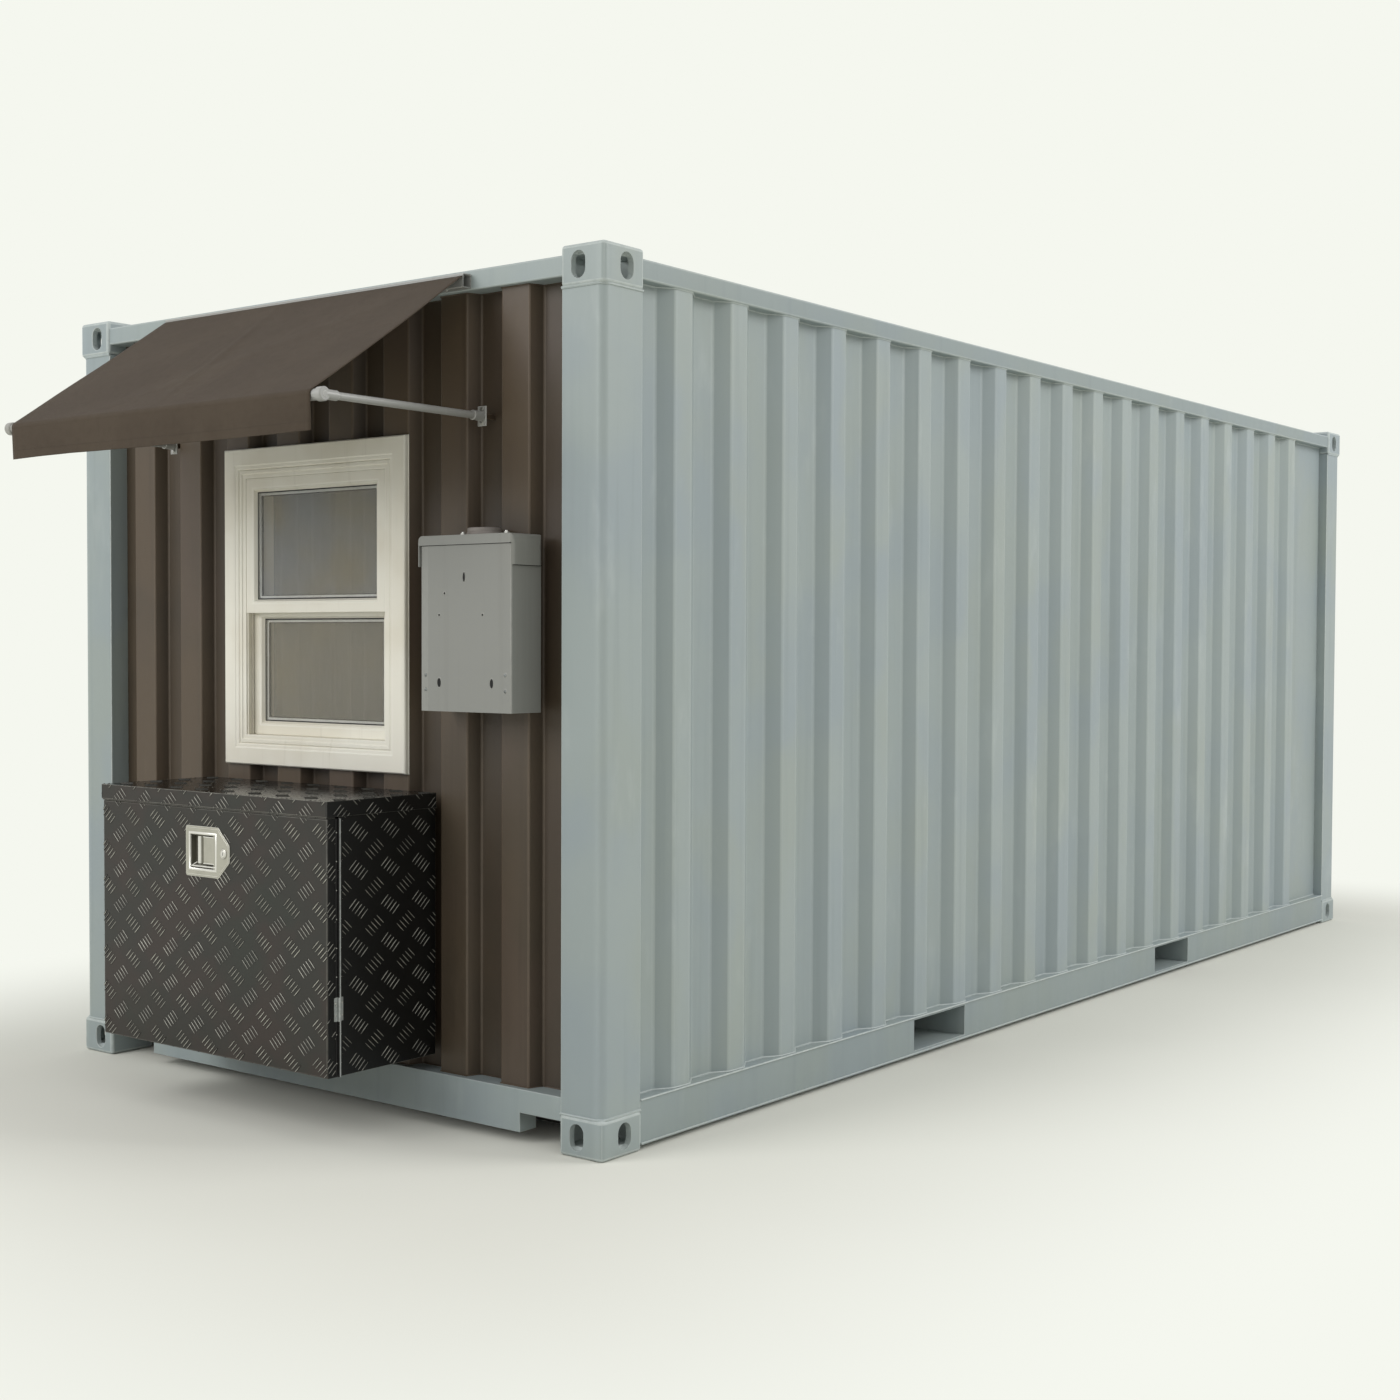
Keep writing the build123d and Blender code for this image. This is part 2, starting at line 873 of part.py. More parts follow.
def hinge_half(side):
    """One half of the long hinge: side 1 on the toolbox body, side -1 on its door."""
    x0 = tool_half
    x1 = tool_half + hinge_leaf
    clear = hinge_radius - hinge_stand
    low = tool_low
    high = door_high

    def strip(near, far, z0, z1):
        y0 = min(hinge_y + side * near, hinge_y + side * far)
        y1 = max(hinge_y + side * near, hinge_y + side * far)
        return block(x0, x1, y0, y1, z0, z1)

    half_hinge = strip(clear, hinge_leaf_width, low, high) + strip(clear, butt_leaf_width, butt_low, butt_high)
    wanted = 0 if side > 0 else 1
    for number, (z0, z1) in enumerate(hinge_spans()):
        if number % 2 == wanted:
            z0 += hinge_play
            z1 -= hinge_play
            half_hinge += rod_along((hinge_x, hinge_y, z0), (hinge_x, hinge_y, z1), hinge_radius)
            half_hinge += strip(0, clear, z0, z1)
    if side > 0:
        half_hinge += rod_along(
            (hinge_x, hinge_y, low + hinge_play), (hinge_x, hinge_y, high - hinge_play), hinge_pin
        )
    else:
        half_hinge -= rod_along((hinge_x, hinge_y, low), (hinge_x, hinge_y, high), hinge_pin + hinge_play)
    return half_hinge


panel_pitch = panel_outer + panel_inner + 2 * panel_slope
panel_first = (leaf_low + leaf_high - (panel_faces - 1) * panel_pitch - panel_outer) / 2


def cargo_door():
    """The right cargo door leaf: a frame round a sheet with level corrugations."""
    frame = ring(
        leaf_x0, leaf_x1, leaf_y0, leaf_y1, leaf_low, leaf_high, leaf_frame, leaf_frame, leaf_frame
    )
    outline = corrugated(
        panel_first,
        panel_faces,
        panel_outer,
        panel_slope,
        panel_inner,
        panel_depth,
        leaf_low + leaf_frame,
        leaf_high - leaf_frame,
    )
    points = [(leaf_y1 - inward, along) for along, inward in outline]
    x0 = leaf_x0 + leaf_frame
    x1 = leaf_x1 - leaf_frame
    return frame + prism(points, x1 - x0, Plane((x0, 0, 0), x_dir=(0, 1, 0), z_dir=(1, 0, 0)))


def rod_guides(x, y):
    """Blocks that hold one locking bar off its leaf, at the leaf's ends and on its panel's outer faces."""
    mids = [leaf_low + leaf_frame / 2, leaf_high - leaf_frame / 2]
    for number in (1, panel_faces - 2):
        mids.append(panel_first + number * panel_pitch + panel_outer / 2)
    back = y - rod_radius - rod_play
    return [
        block(x - rod_guide / 2, x + rod_guide / 2, leaf_y1, back, mid - rod_guide / 2, mid + rod_guide / 2)
        for mid in mids
    ]


def lock_rods():
    """Four upright locking bars with their guides and handles."""
    y = leaf_y1 + rod_stand
    handle_y = y + rod_radius + rod_play
    gear = []
    for x, sign, z in (
        (leaf_x0 + rod_from_mid, 1, handle_z),
        (leaf_x1 - rod_from_side, -1, handle_z + handle_step),
    ):
        rod = rod_along((x, y, sill_top), (x, y, leaf_high + leaf_end_play), rod_radius)
        near = x - sign * rod_radius
        far = x + sign * handle_length
        handle = block(min(near, far), max(near, far), handle_y, handle_y + handle_thick, z, z + handle_height)
        for part in [rod, handle] + rod_guides(x, y):
            gear.append(part)
            gear.append(flipped_x(part))
    return Part() + gear


def cargo_hinges():
    """The hinge blades of both leaves, each with a knuckle between leaf and post."""
    step = (leaf_high - leaf_low - hinge_blade_height - 2 * leaf_frame) / (hinge_count - 1)
    y0 = leaf_y1
    y1 = leaf_y1 + hinge_blade_thick
    blades = []
    for number in range(hinge_count):
        low = leaf_low + leaf_frame + number * step
        high = low + hinge_blade_height
        blade = block(inner_x - hinge_blade_length, inner_x, y0, y1, low, high)
        knuckle = block(leaf_x1 - hinge_knuckle, inner_x, y1, y1 + hinge_knuckle / 2, low, high)
        blades.append(blade + knuckle)
        blades.append(flipped_x(blade + knuckle))
    return Part() + blades


pieces = {
    "castings_front_right": corner_castings(1, -1),
    "castings_front_left": corner_castings(-1, -1),
    "castings_rear_right": corner_castings(1, 1),
    "castings_rear_left": corner_castings(-1, 1),
    "front_corner_posts": post_pair(front_y, -1),
    "rear_corner_posts": post_pair(rear_y, 1),
    "top_side_rails": top_side_rails(),
    "front_header": header(beam_front, room_front, wall_top),
    "rear_header": header(room_rear, beam_rear, beam_top - rear_header_height),
    "front_sill": sill(beam_front, room_front),
    "rear_sill": sill(room_rear, beam_rear),
    "bottom_rail_right": bottom_rail(),
    "bottom_rail_left": flipped_x(bottom_rail()),
    "fork_pockets": fork_pockets(),
    "floor_joists": joists(),
    "floor": floor(),
    "side_wall_right": side_wall(),
    "side_wall_left": flipped_x(side_wall()),
    "front_wall": front_wall(),
    "roof_panel": roof(),
    "window_trim": window_trim(),
    "window_frame": window_frame(),
    "upper_sash": upper_sash(),
    "lower_sash": lower_sash(),
    "window_glass": window_glass(),
    "awning_canopy": canopy(),
    "awning_head_rail": head_rail(),
    "awning_front_bar": front_bar(),
    "awning_arm_right": awning_arm(),
    "awning_arm_left": flipped_x(awning_arm()),
    "arm_brackets": arm_brackets(),
    "electric_box": electric_box(),
    "electric_cover": electric_cover(),
    "electric_hood": electric_hood(),
    "conduit_hub": conduit_hub(),
    "toolbox_body": toolbox_body(),
    "toolbox_cap": toolbox_cap(),
    "toolbox_door": toolbox_door(),
    "hinge_fixed_half": hinge_half(1),
    "hinge_door_half": hinge_half(-1),
    "latch_plate": latch_plate(),
    "latch_paddle": latch_paddle(),
    "lock_cylinder": lock_cylinder(),
    "cargo_door_right": cargo_door(),
    "cargo_door_left": flipped_x(cargo_door()),
    "cargo_lock_rods": lock_rods(),
    "cargo_hinges": cargo_hinges(),
}

os.makedirs("parts", exist_ok=True)
for name, piece in pieces.items():
    export_step(piece, f"parts/{name}.step")
print("front face y", front_y, "rear face y", rear_y, "hinge", hinge_x, hinge_y)
print("paddle axis", paddle_axis_x, paddle_axis_y, "pocket mids", pocket_mids)
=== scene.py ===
import logging
import math
from collections.abc import Callable, Iterable, Sequence
from dataclasses import dataclass, field
from enum import Enum
from functools import cache
from itertools import product

import bmesh
import bpy
from mathutils import Matrix, Vector, noise


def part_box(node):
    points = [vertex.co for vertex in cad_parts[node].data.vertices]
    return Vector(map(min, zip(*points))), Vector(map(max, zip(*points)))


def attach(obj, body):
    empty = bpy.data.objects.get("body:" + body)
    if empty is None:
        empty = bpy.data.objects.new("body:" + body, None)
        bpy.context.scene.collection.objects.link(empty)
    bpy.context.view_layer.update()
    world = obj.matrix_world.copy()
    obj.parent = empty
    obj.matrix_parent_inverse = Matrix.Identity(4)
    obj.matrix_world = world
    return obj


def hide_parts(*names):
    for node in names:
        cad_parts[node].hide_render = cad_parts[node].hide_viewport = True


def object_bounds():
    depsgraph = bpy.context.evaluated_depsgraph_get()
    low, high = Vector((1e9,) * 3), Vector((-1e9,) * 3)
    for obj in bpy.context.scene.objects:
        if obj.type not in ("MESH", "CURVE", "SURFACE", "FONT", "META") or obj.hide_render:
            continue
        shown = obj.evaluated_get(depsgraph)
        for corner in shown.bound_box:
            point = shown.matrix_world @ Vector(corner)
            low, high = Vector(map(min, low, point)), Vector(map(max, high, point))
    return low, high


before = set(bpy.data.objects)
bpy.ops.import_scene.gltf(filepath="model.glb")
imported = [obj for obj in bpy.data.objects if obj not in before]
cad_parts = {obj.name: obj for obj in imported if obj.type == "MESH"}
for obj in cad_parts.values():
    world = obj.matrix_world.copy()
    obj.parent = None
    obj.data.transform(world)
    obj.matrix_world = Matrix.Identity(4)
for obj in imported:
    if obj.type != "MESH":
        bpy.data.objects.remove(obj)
cad_low, cad_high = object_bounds()

log = logging.getLogger("cabin")

Point = Sequence[float]
Colour = tuple[float, float, float]
UP = Vector((0, 0, 1))
OUT = Vector((0, -1, 0))
SQUARE = (60, 120)
MERGE = 2e-5
FLAT = math.radians(0.6)
CREASE = math.radians(38)
HINGE_LINE_Y = -3.0825


class Body(Enum):
    """The moving bodies of the part."""

    CABIN = "cabin"
    DOOR = "toolbox_door_leaf"
    PADDLE = "paddle"


class Side(Enum):
    """The two long sides of the container."""

    RIGHT = 1
    LEFT = -1


class Lean(Enum):
    """Which way a group of tread bars leans."""

    FORWARD = 1
    BACK = -1


def linear(colour: Colour) -> tuple[float, float, float, float]:
    """Turns a colour as it is seen, 0 to 255, into the linear colour that a shader takes.

    Args:
        colour: red, green and blue, 0 to 255.

    Returns:
        Linear red, green, blue and an alpha of 1.
    """
    shares = [part / 255 for part in colour]
    red, green, blue = (s / 12.92 if s <= 0.04045 else ((s + 0.055) / 1.055) ** 2.4 for s in shares)
    return red, green, blue, 1.0


class Term:
    """One socket of a node tree, used in Python sums."""

    def __init__(self, graph: "Graph", socket: bpy.types.NodeSocket) -> None:
        """Wraps a socket."""
        self.graph = graph
        self.socket = socket

    def __add__(self, other: "Term | float") -> "Term":
        """The sum."""
        return self.graph.maths("ADD", self, other)

    def __radd__(self, other: float) -> "Term":
        """The sum with a plain number first."""
        return self.graph.maths("ADD", other, self)

    def __sub__(self, other: "Term | float") -> "Term":
        """The difference."""
        return self.graph.maths("SUBTRACT", self, other)

    def __rsub__(self, other: float) -> "Term":
        """A plain number less this."""
        return self.graph.maths("SUBTRACT", other, self)

    def __mul__(self, other: "Term | float") -> "Term":
        """The product."""
        return self.graph.maths("MULTIPLY", self, other)

    def __rmul__(self, other: float) -> "Term":
        """The product with a plain number first."""
        return self.graph.maths("MULTIPLY", other, self)

    def size(self) -> "Term":
        """The value without its sign."""
        return self.graph.maths("ABSOLUTE", self)

    def above(self, floor: float) -> "Term":
        """How far the value stands above a floor, and 0 below it."""
        return self.graph.maths("MAXIMUM", self - floor, 0.0)

    def below(self, ceiling: float) -> "Term":
        """How far the value stands below a ceiling, and 0 above it."""
        return self.graph.maths("MAXIMUM", ceiling - self, 0.0)

    def step(self, low: float, high: float) -> "Term":
        """A soft step from 0 at low to 1 at high.

        Args:
            low: where the step starts; above high, the step falls.
            high: where it ends.

        Returns:
            The stepped value, 0 to 1.
        """
        sockets = {0: self, 1: low, 2: high, 3: 0.0, 4: 1.0}
        return self.graph.node("ShaderNodeMapRange", {"interpolation_type": "SMOOTHSTEP"}, sockets)


class Graph:
    """The node tree of a material or a world, built from Python expressions."""

    def __init__(self, name: str, world: bool = False) -> None:
        """Starts an empty tree.

        Args:
            name: the material's name, or the world's.
            world: whether it is a world's.
        """
        self.owner = bpy.data.worlds.new(name) if world else bpy.data.materials.new(name)
        self.owner.use_nodes = True
        self.tree = self.owner.node_tree
        self.tree.nodes.clear()
        self.output = self.tree.nodes.new("ShaderNodeOutputWorld" if world else "ShaderNodeOutputMaterial")

    def node(
        self,
        kind: str,
        settings: dict[str, object] | None = None,
        sockets: dict[int | str, object] | None = None,
        out: int | str = 0,
    ) -> Term:
        """Adds a node.

        Args:
            kind: the node's type.
            settings: its properties, which are set first.
            sockets: values or terms of its input sockets.
            out: which output to return.

        Returns:
            The output as a term.
        """
        made = self.tree.nodes.new(kind)
        for name, value in (settings or {}).items():
            setattr(made, name, value)
        for key, value in (sockets or {}).items():
            if isinstance(value, Term):
                self.tree.links.new(value.socket, made.inputs[key])
            else:
                made.inputs[key].default_value = value
        return Term(self, made.outputs[out])

    def maths(self, operation: str, first: Term | float, second: Term | float = 0.0) -> Term:
        """A Math node on two values."""
        return self.node("ShaderNodeMath", {"operation": operation}, {0: first, 1: second})

    def spot(self, scale: Point = (1, 1, 1), turn: Point = (0, 0, 0)) -> Term:
        """Object coordinates, stretched and turned.

        Args:
            scale: how much finer the pattern gets along each axis.
            turn: angles about the axes, in radians.

        Returns:
            The vector.
        """
        return self.mapped(self.node("ShaderNodeTexCoord", out="Object"), scale, turn)

    def mapped(self, vector: Term, scale: Point, turn: Point = (0, 0, 0)) -> Term:
        """Stretches and turns a vector.

        Args:
            vector: the vector.
            scale: how much finer the pattern gets along each axis.
            turn: angles about the axes, in radians.

        Returns:
            The new vector.
        """
        sockets = {"Vector": vector, "Scale": tuple(scale), "Rotation": tuple(turn)}
        return self.node("ShaderNodeMapping", {}, sockets)

    def part(self, vector: Term, index: int) -> Term:
        """One number of a vector, 0 to 2."""
        return self.node("ShaderNodeSeparateXYZ", {}, {0: vector}, out=index)

    def axis(self, index: int) -> Term:
        """One of the object's own coordinates, 0 to 2."""
        return self.part(self.node("ShaderNodeTexCoord", out="Object"), index)

    def attribute(self, name: str) -> Term:
        """A number that the mesh carries."""
        return self.node("ShaderNodeAttribute", {"attribute_name": name}, out="Fac")

    def noise(self, where: Term, scale: float, detail: float = 3.0, roughness: float = 0.55) -> Term:
        """A cloudy pattern, 0 to 1.

        Args:
            where: the vector that it follows.
            scale: how many clouds go into a metre.
            detail: how many finer octaves it has.
            roughness: how strong those are.

        Returns:
            The pattern.
        """
        sockets = {"Vector": where, "Scale": scale, "Detail": detail, "Roughness": roughness}
        return self.node("ShaderNodeTexNoise", {}, sockets)

    def mix(self, share: Term | float, first: Term | Colour, second: Term | Colour) -> Term:
        """Mixes two colours.

        Args:
            share: how much of the second, 0 to 1.
            first: a term, or a colour as it is seen.
            second: a term, or a colour as it is seen.

        Returns:
            The mixed colour.
        """
        under, over = (c if isinstance(c, Term) else linear(c) for c in (first, second))
        return self.node("ShaderNodeMix", {"data_type": "RGBA"}, {0: share, 6: under, 7: over}, out=2)

    def bump(self, height: Term) -> Term:
        """A normal bent by a height in metres."""
        return self.node("ShaderNodeBump", {}, {"Height": height, "Distance": 1.0, "Strength": 1.0})

    def end(self, shader: Term) -> bpy.types.Material | bpy.types.World:
        """Puts a shader on the output and gives back the material or world."""
        self.tree.links.new(shader.socket, self.output.inputs["Surface"])
        return self.owner

    def finish(self, **sockets: object) -> bpy.types.Material:
        """Adds the shader and ends the material.

        Args:
            sockets: the shader's sockets, with underscores for spaces.

        Returns:
            The material.
        """
        named = {key.replace("_", " "): value for key, value in sockets.items()}
        return self.end(self.node("ShaderNodeBsdfPrincipled", {}, named))


class Finish:
    """A surface finish that can be put on pieces."""

    def build(self) -> bpy.types.Material:
        """Builds the material."""
        raise NotImplementedError


@cache
def material_of(finish: Finish) -> bpy.types.Material:
    """The finish's material, built once."""
    return finish.build()


@dataclass(frozen=True)
class RecessShade:
    """Painted shade in recesses: a paint darkens between two distances from the object's middle along one
    axis, and is darkest at the nearer one and within it.
    """

    axis: int
    clean: float
    shade_full: float
    share: float


@dataclass(frozen=True)
class Paint(Finish):
    """A paint film on steel or enamel on sheet, with patches, streaks and dirt, painted shade in recesses and
    on faces marked darker, and lighter edges that are partly wear and partly painted highlight.
    """

    name: str
    colour: Colour
    patch: Colour
    tinge: Colour
    edge: Colour
    # The colour of dirt, which also paints the shade in recesses and on faces marked darker.
    grime_and_shade: Colour
    patch_size: float = 0.8
    streaks: float = 0.25
    grime_top: float = 0.35
    grime_share: float = 0.4
    edge_share: float = 0.6
    roughness: float = 0.45
    peel: float = 0.00012
    ripple: float = 0.0
    metallic: float = 0.0
    recess_shade: RecessShade | None = None

    def build(self) -> bpy.types.Material:
        """Builds the paint."""
        graph = Graph(self.name)
        spot = graph.spot()
        broad = graph.noise(spot, 1 / self.patch_size, 3, 0.5)
        other = graph.noise(graph.spot((1, 1, 0.6), (0.5, 0.1, 0.7)), 1.7 / self.patch_size, 3, 0.5)
        fine = graph.noise(spot, 38, 5, 0.6)
        cloud = graph.noise(graph.spot((1, 1, 0.35), (0.3, 0.2, 0)), 7, 4, 0.6)
        streak = graph.noise(graph.spot((16, 16, 0.55)), 1.4, 4, 0.6)
        speck = graph.noise(spot, 620, 2, 0.5)
        colour = graph.mix(broad.step(0.4, 0.64), self.colour, self.patch)
        colour = graph.mix(other.step(0.46, 0.68) * 0.8, colour, self.tinge)
        colour = graph.mix(streak.step(0.5, 0.78) * self.streaks, colour, self.grime_and_shade)
        colour = graph.mix(cloud.step(0.58, 0.75) * (self.streaks * 0.5), colour, self.edge)
        # Painted shade: surfaces deeper in than the given distance, such as the valleys of corrugated sheet,
        # are darkened.
        if self.recess_shade:
            depth = graph.axis(self.recess_shade.axis).size().step(self.recess_shade.clean, self.recess_shade.shade_full)
            colour = graph.mix(depth * self.recess_shade.share, colour, self.grime_and_shade)
        low = graph.axis(2).step(self.grime_top, 0.0) * cloud.step(0.3, 0.7)
        colour = graph.mix(low * self.grime_share, colour, self.grime_and_shade)
        marked = graph.attribute("wear_and_painted_light")
        # Painted shade: faces marked below 0 are darkened.
        colour = graph.mix(marked.below(0.0), colour, self.grime_and_shade)
        # Faces marked above 0 are lightened, partly edge wear and partly painted highlight.
        wear_and_painted_light = marked.above(0.0) * (fine.step(0.28, 0.62) * 0.45 + 0.55)
        colour = graph.mix(wear_and_painted_light * self.edge_share, colour, self.edge)
        height = speck * self.peel + cloud * self.ripple
        return graph.finish(
            Base_Color=colour,
            Roughness=self.roughness + (fine - 0.5) * 0.16 + wear_and_painted_light * 0.08 + low * 0.12,
            Metallic=self.metallic,
            Normal=graph.bump(height),
        )


@dataclass(frozen=True)
class Vinyl(Finish):
    """White window vinyl, a little chalky, with streaks of dust."""

    name: str = "white_vinyl"
    colour: Colour = (233, 230, 217)
    warm: Colour = (224, 219, 203)
    dust: Colour = (182, 175, 158)
    edge: Colour = (240, 238, 229)

    def build(self) -> bpy.types.Material:
        """Builds the vinyl."""
        graph = Graph(self.name)
        spot = graph.spot()
        broad = graph.noise(spot, 3.2, 3, 0.5)
        streak = graph.noise(graph.spot((22, 22, 1.2)), 1.6, 4, 0.6)
        fine = graph.noise(spot, 90, 4, 0.6)
        colour = graph.mix(broad.step(0.4, 0.66), self.colour, self.warm)
        colour = graph.mix(streak.step(0.56, 0.8) * 0.28, colour, self.dust)
        wear_and_painted_light = graph.attribute("wear_and_painted_light")
        # Painted highlight: the bevelled edges, marked lighter, take a whiter colour.
        colour = graph.mix(wear_and_painted_light * 0.35, colour, self.edge)
        return graph.finish(
            Base_Color=colour,
            Roughness=0.36 + (fine - 0.5) * 0.14 + streak * 0.06,
            Coat_Weight=0.1,
            Coat_Roughness=0.2,
            Normal=graph.bump(fine * 0.00005 + graph.noise(spot, 700, 2, 0.5) * 0.00003),
        )


@dataclass(frozen=True)
class Glass(Finish):
    """Window glass that shows the room behind a film of dust, thicker in clouds and streaks, with a warm
    painted reflection in its lower part.
    """

    name: str = "window_glass"
    tint: Colour = (222, 223, 220)
    dust: Colour = (214, 206, 184)
    film: float = 0.098
    reflection_below: float = 1.58

    def build(self) -> bpy.types.Material:
        """Builds the glass."""
        graph = Graph(self.name)
        streak = graph.noise(graph.spot((9, 9, 2)), 2.0, 4, 0.6)
        cloud = graph.noise(graph.spot(), 3.4, 4, 0.55)
        colour = graph.mix(cloud.step(0.35, 0.68), self.tint, self.dust)
        # Painted reflection: below the given height the glass is tinted towards the warm dust colour.
        warm = graph.axis(2).step(self.reflection_below, self.reflection_below - 0.02)
        colour = graph.mix(warm * 0.7, colour, self.dust)
        return graph.finish(
            Base_Color=colour,
            Roughness=0.03 + streak.step(0.45, 0.8) * 0.06 + cloud.step(0.55, 0.8) * 0.03,
            Alpha=self.film + cloud.step(0.3, 0.7) * 0.025 + streak.step(0.5, 0.8) * 0.012,
            IOR=1.5,
        )


@dataclass(frozen=True)
class Canvas(Finish):
    """Woven awning cloth with stitched hems. It follows the cloth's own map, which is in metres."""

    name: str
    colour: Colour
    faded: Colour
    thread: Colour
    width: float
    length: float
    hem: float
    fold_at: float
    warp: float = 0.0016
    weft: float = 0.0018
    stitch: float = 0.007

    def seam(self, graph: Graph, edge: Term, along: Term) -> Term:
        """A dashed line of stitches.

        Args:
            graph: the cloth's node tree.
            edge: how far in from the cloth's edge a point lies.
            along: the way that the line runs.

        Returns:
            The stitches, 0 to 1.
        """
        aside = edge - self.hem
        line = aside.step(-0.0012, -0.0002) * aside.step(0.0012, 0.0002)
        return line * graph.maths("SINE", along * (2 * math.pi / self.stitch)).step(-0.3, 0.2)

    def build(self) -> bpy.types.Material:
        """Builds the cloth."""
        graph = Graph(self.name)
        uv = graph.node("ShaderNodeUVMap", {"uv_map": "cloth"})
        across, along = graph.part(uv, 0), graph.part(uv, 1)
        warp = graph.maths("SINE", across * (2 * math.pi / self.warp))
        weft = graph.maths("SINE", along * (2 * math.pi / self.weft))
        slub = graph.noise(graph.mapped(uv, (260, 9, 1)), 1, 3, 0.6)
        cross_slub = graph.noise(graph.mapped(uv, (9, 260, 1)), 1, 3, 0.6)
        broad = graph.noise(uv, 3.1, 4, 0.55)
        mottle = graph.noise(uv, 34, 4, 0.6)
        colour = graph.mix(broad.step(0.35, 0.7) * 0.7, self.colour, self.faded)
        colour = graph.mix(mottle.step(0.45, 0.75) * 0.22, colour, self.thread)
        colour = graph.mix((slub + cross_slub).step(1.0, 1.3) * 0.35, colour, self.faded)
        side = graph.maths("MINIMUM", across, self.width - across)
        foot = self.length - along
        stitch = graph.maths("MAXIMUM", self.seam(graph, side, along), self.seam(graph, foot, across))
        colour = graph.mix(stitch * 0.8, colour, self.thread)
        fold = (along - self.fold_at).step(-0.03, 0.0) * (along - self.fold_at).step(0.05, 0.0)
        colour = graph.mix(fold * 0.25, colour, self.faded)
        height = (warp * weft) * 0.00012 + (slub + cross_slub) * 0.00016 + stitch * 0.0005
        return graph.finish(
            Base_Color=colour,
            Roughness=0.86 + (mottle - 0.5) * 0.12,
            Sheen_Weight=0.03,
            Sheen_Roughness=0.5,
            Specular_IOR_Level=0.25,
            Normal=graph.bump(height),
        )


@dataclass(frozen=True)
class Metal(Finish):
    """Bare or lightly coated metal, brushed along one axis, with painted highlights on faces marked lighter
    and painted shade on faces marked darker.
    """

    name: str
    colour: Colour
    dull: Colour
    grain: tuple[float, float, float]
    roughness: float = 0.32
    metallic: float = 1.0
    scratch: float = 0.00004
    tarnish: float = 0.5
    highlight_and_wear: Colour = (244, 243, 236)
    # The colour of painted shade on faces marked darker, such as the latch's tray, groove and ledge.
    deep: Colour = (64, 61, 46)

    def build(self) -> bpy.types.Material:
        """Builds the metal."""
        graph = Graph(self.name)
        spot = graph.spot()
        brushed = graph.noise(graph.spot(self.grain), 1.0, 3, 0.6)
        cloud = graph.noise(spot, 9, 4, 0.6)
        fine = graph.noise(spot, 160, 3, 0.6)
        colour = graph.mix(cloud.step(0.42, 0.72) * self.tarnish, self.colour, self.dull)
        colour = graph.mix(brushed.step(0.4, 0.8) * 0.25, colour, self.dull)
        wear_and_painted_light = graph.attribute("wear_and_painted_light")
        # Painted highlight, with some wear, on faces marked lighter; painted shade on faces marked darker.
        colour = graph.mix(wear_and_painted_light.above(0.0) * 0.8, colour, self.highlight_and_wear)
        colour = graph.mix(wear_and_painted_light.below(0.0) * 0.8, colour, self.deep)
        return graph.finish(
            Base_Color=colour,
            Metallic=self.metallic,
            Roughness=self.roughness + (cloud - 0.5) * 0.16 + (brushed - 0.5) * 0.12 + (fine - 0.5) * 0.05,
            Normal=graph.bump(brushed * self.scratch + fine * (self.scratch * 0.5)),
        )


@dataclass(frozen=True)
class PianoHinge(Finish):
    """A steel hinge whose knuckles and small plate are bright and whose long leaves are coated black."""

    name: str
    bright: Colour
    dull: Colour
    coat: Colour
    axis_y: float
    barrel: float
    plate_mid: float
    plate_half: float
    blend: float = 0.0006

    def build(self) -> bpy.types.Material:
        """Builds the hinge's finish."""
        graph = Graph(self.name)
        cloud = graph.noise(graph.spot(), 60, 4, 0.6)
        brushed = graph.noise(graph.spot((700, 700, 30)), 1.0, 3, 0.6)
        aside = (graph.axis(1) - self.axis_y).size().step(self.barrel, self.barrel + self.blend)
        away = (graph.axis(2) - self.plate_mid).size().step(self.plate_half, self.plate_half + self.blend)
        coated = aside * away
        steel = graph.mix(cloud.step(0.4, 0.7) * 0.6, self.bright, self.dull)
        colour = graph.mix(coated, steel, self.coat)
        return graph.finish(
            Base_Color=colour,
            Metallic=(1.0 - coated) * 0.4,
            Roughness=0.36 + (cloud - 0.5) * 0.16 + coated * 0.1,
            Normal=graph.bump(brushed * 0.00004),
        )


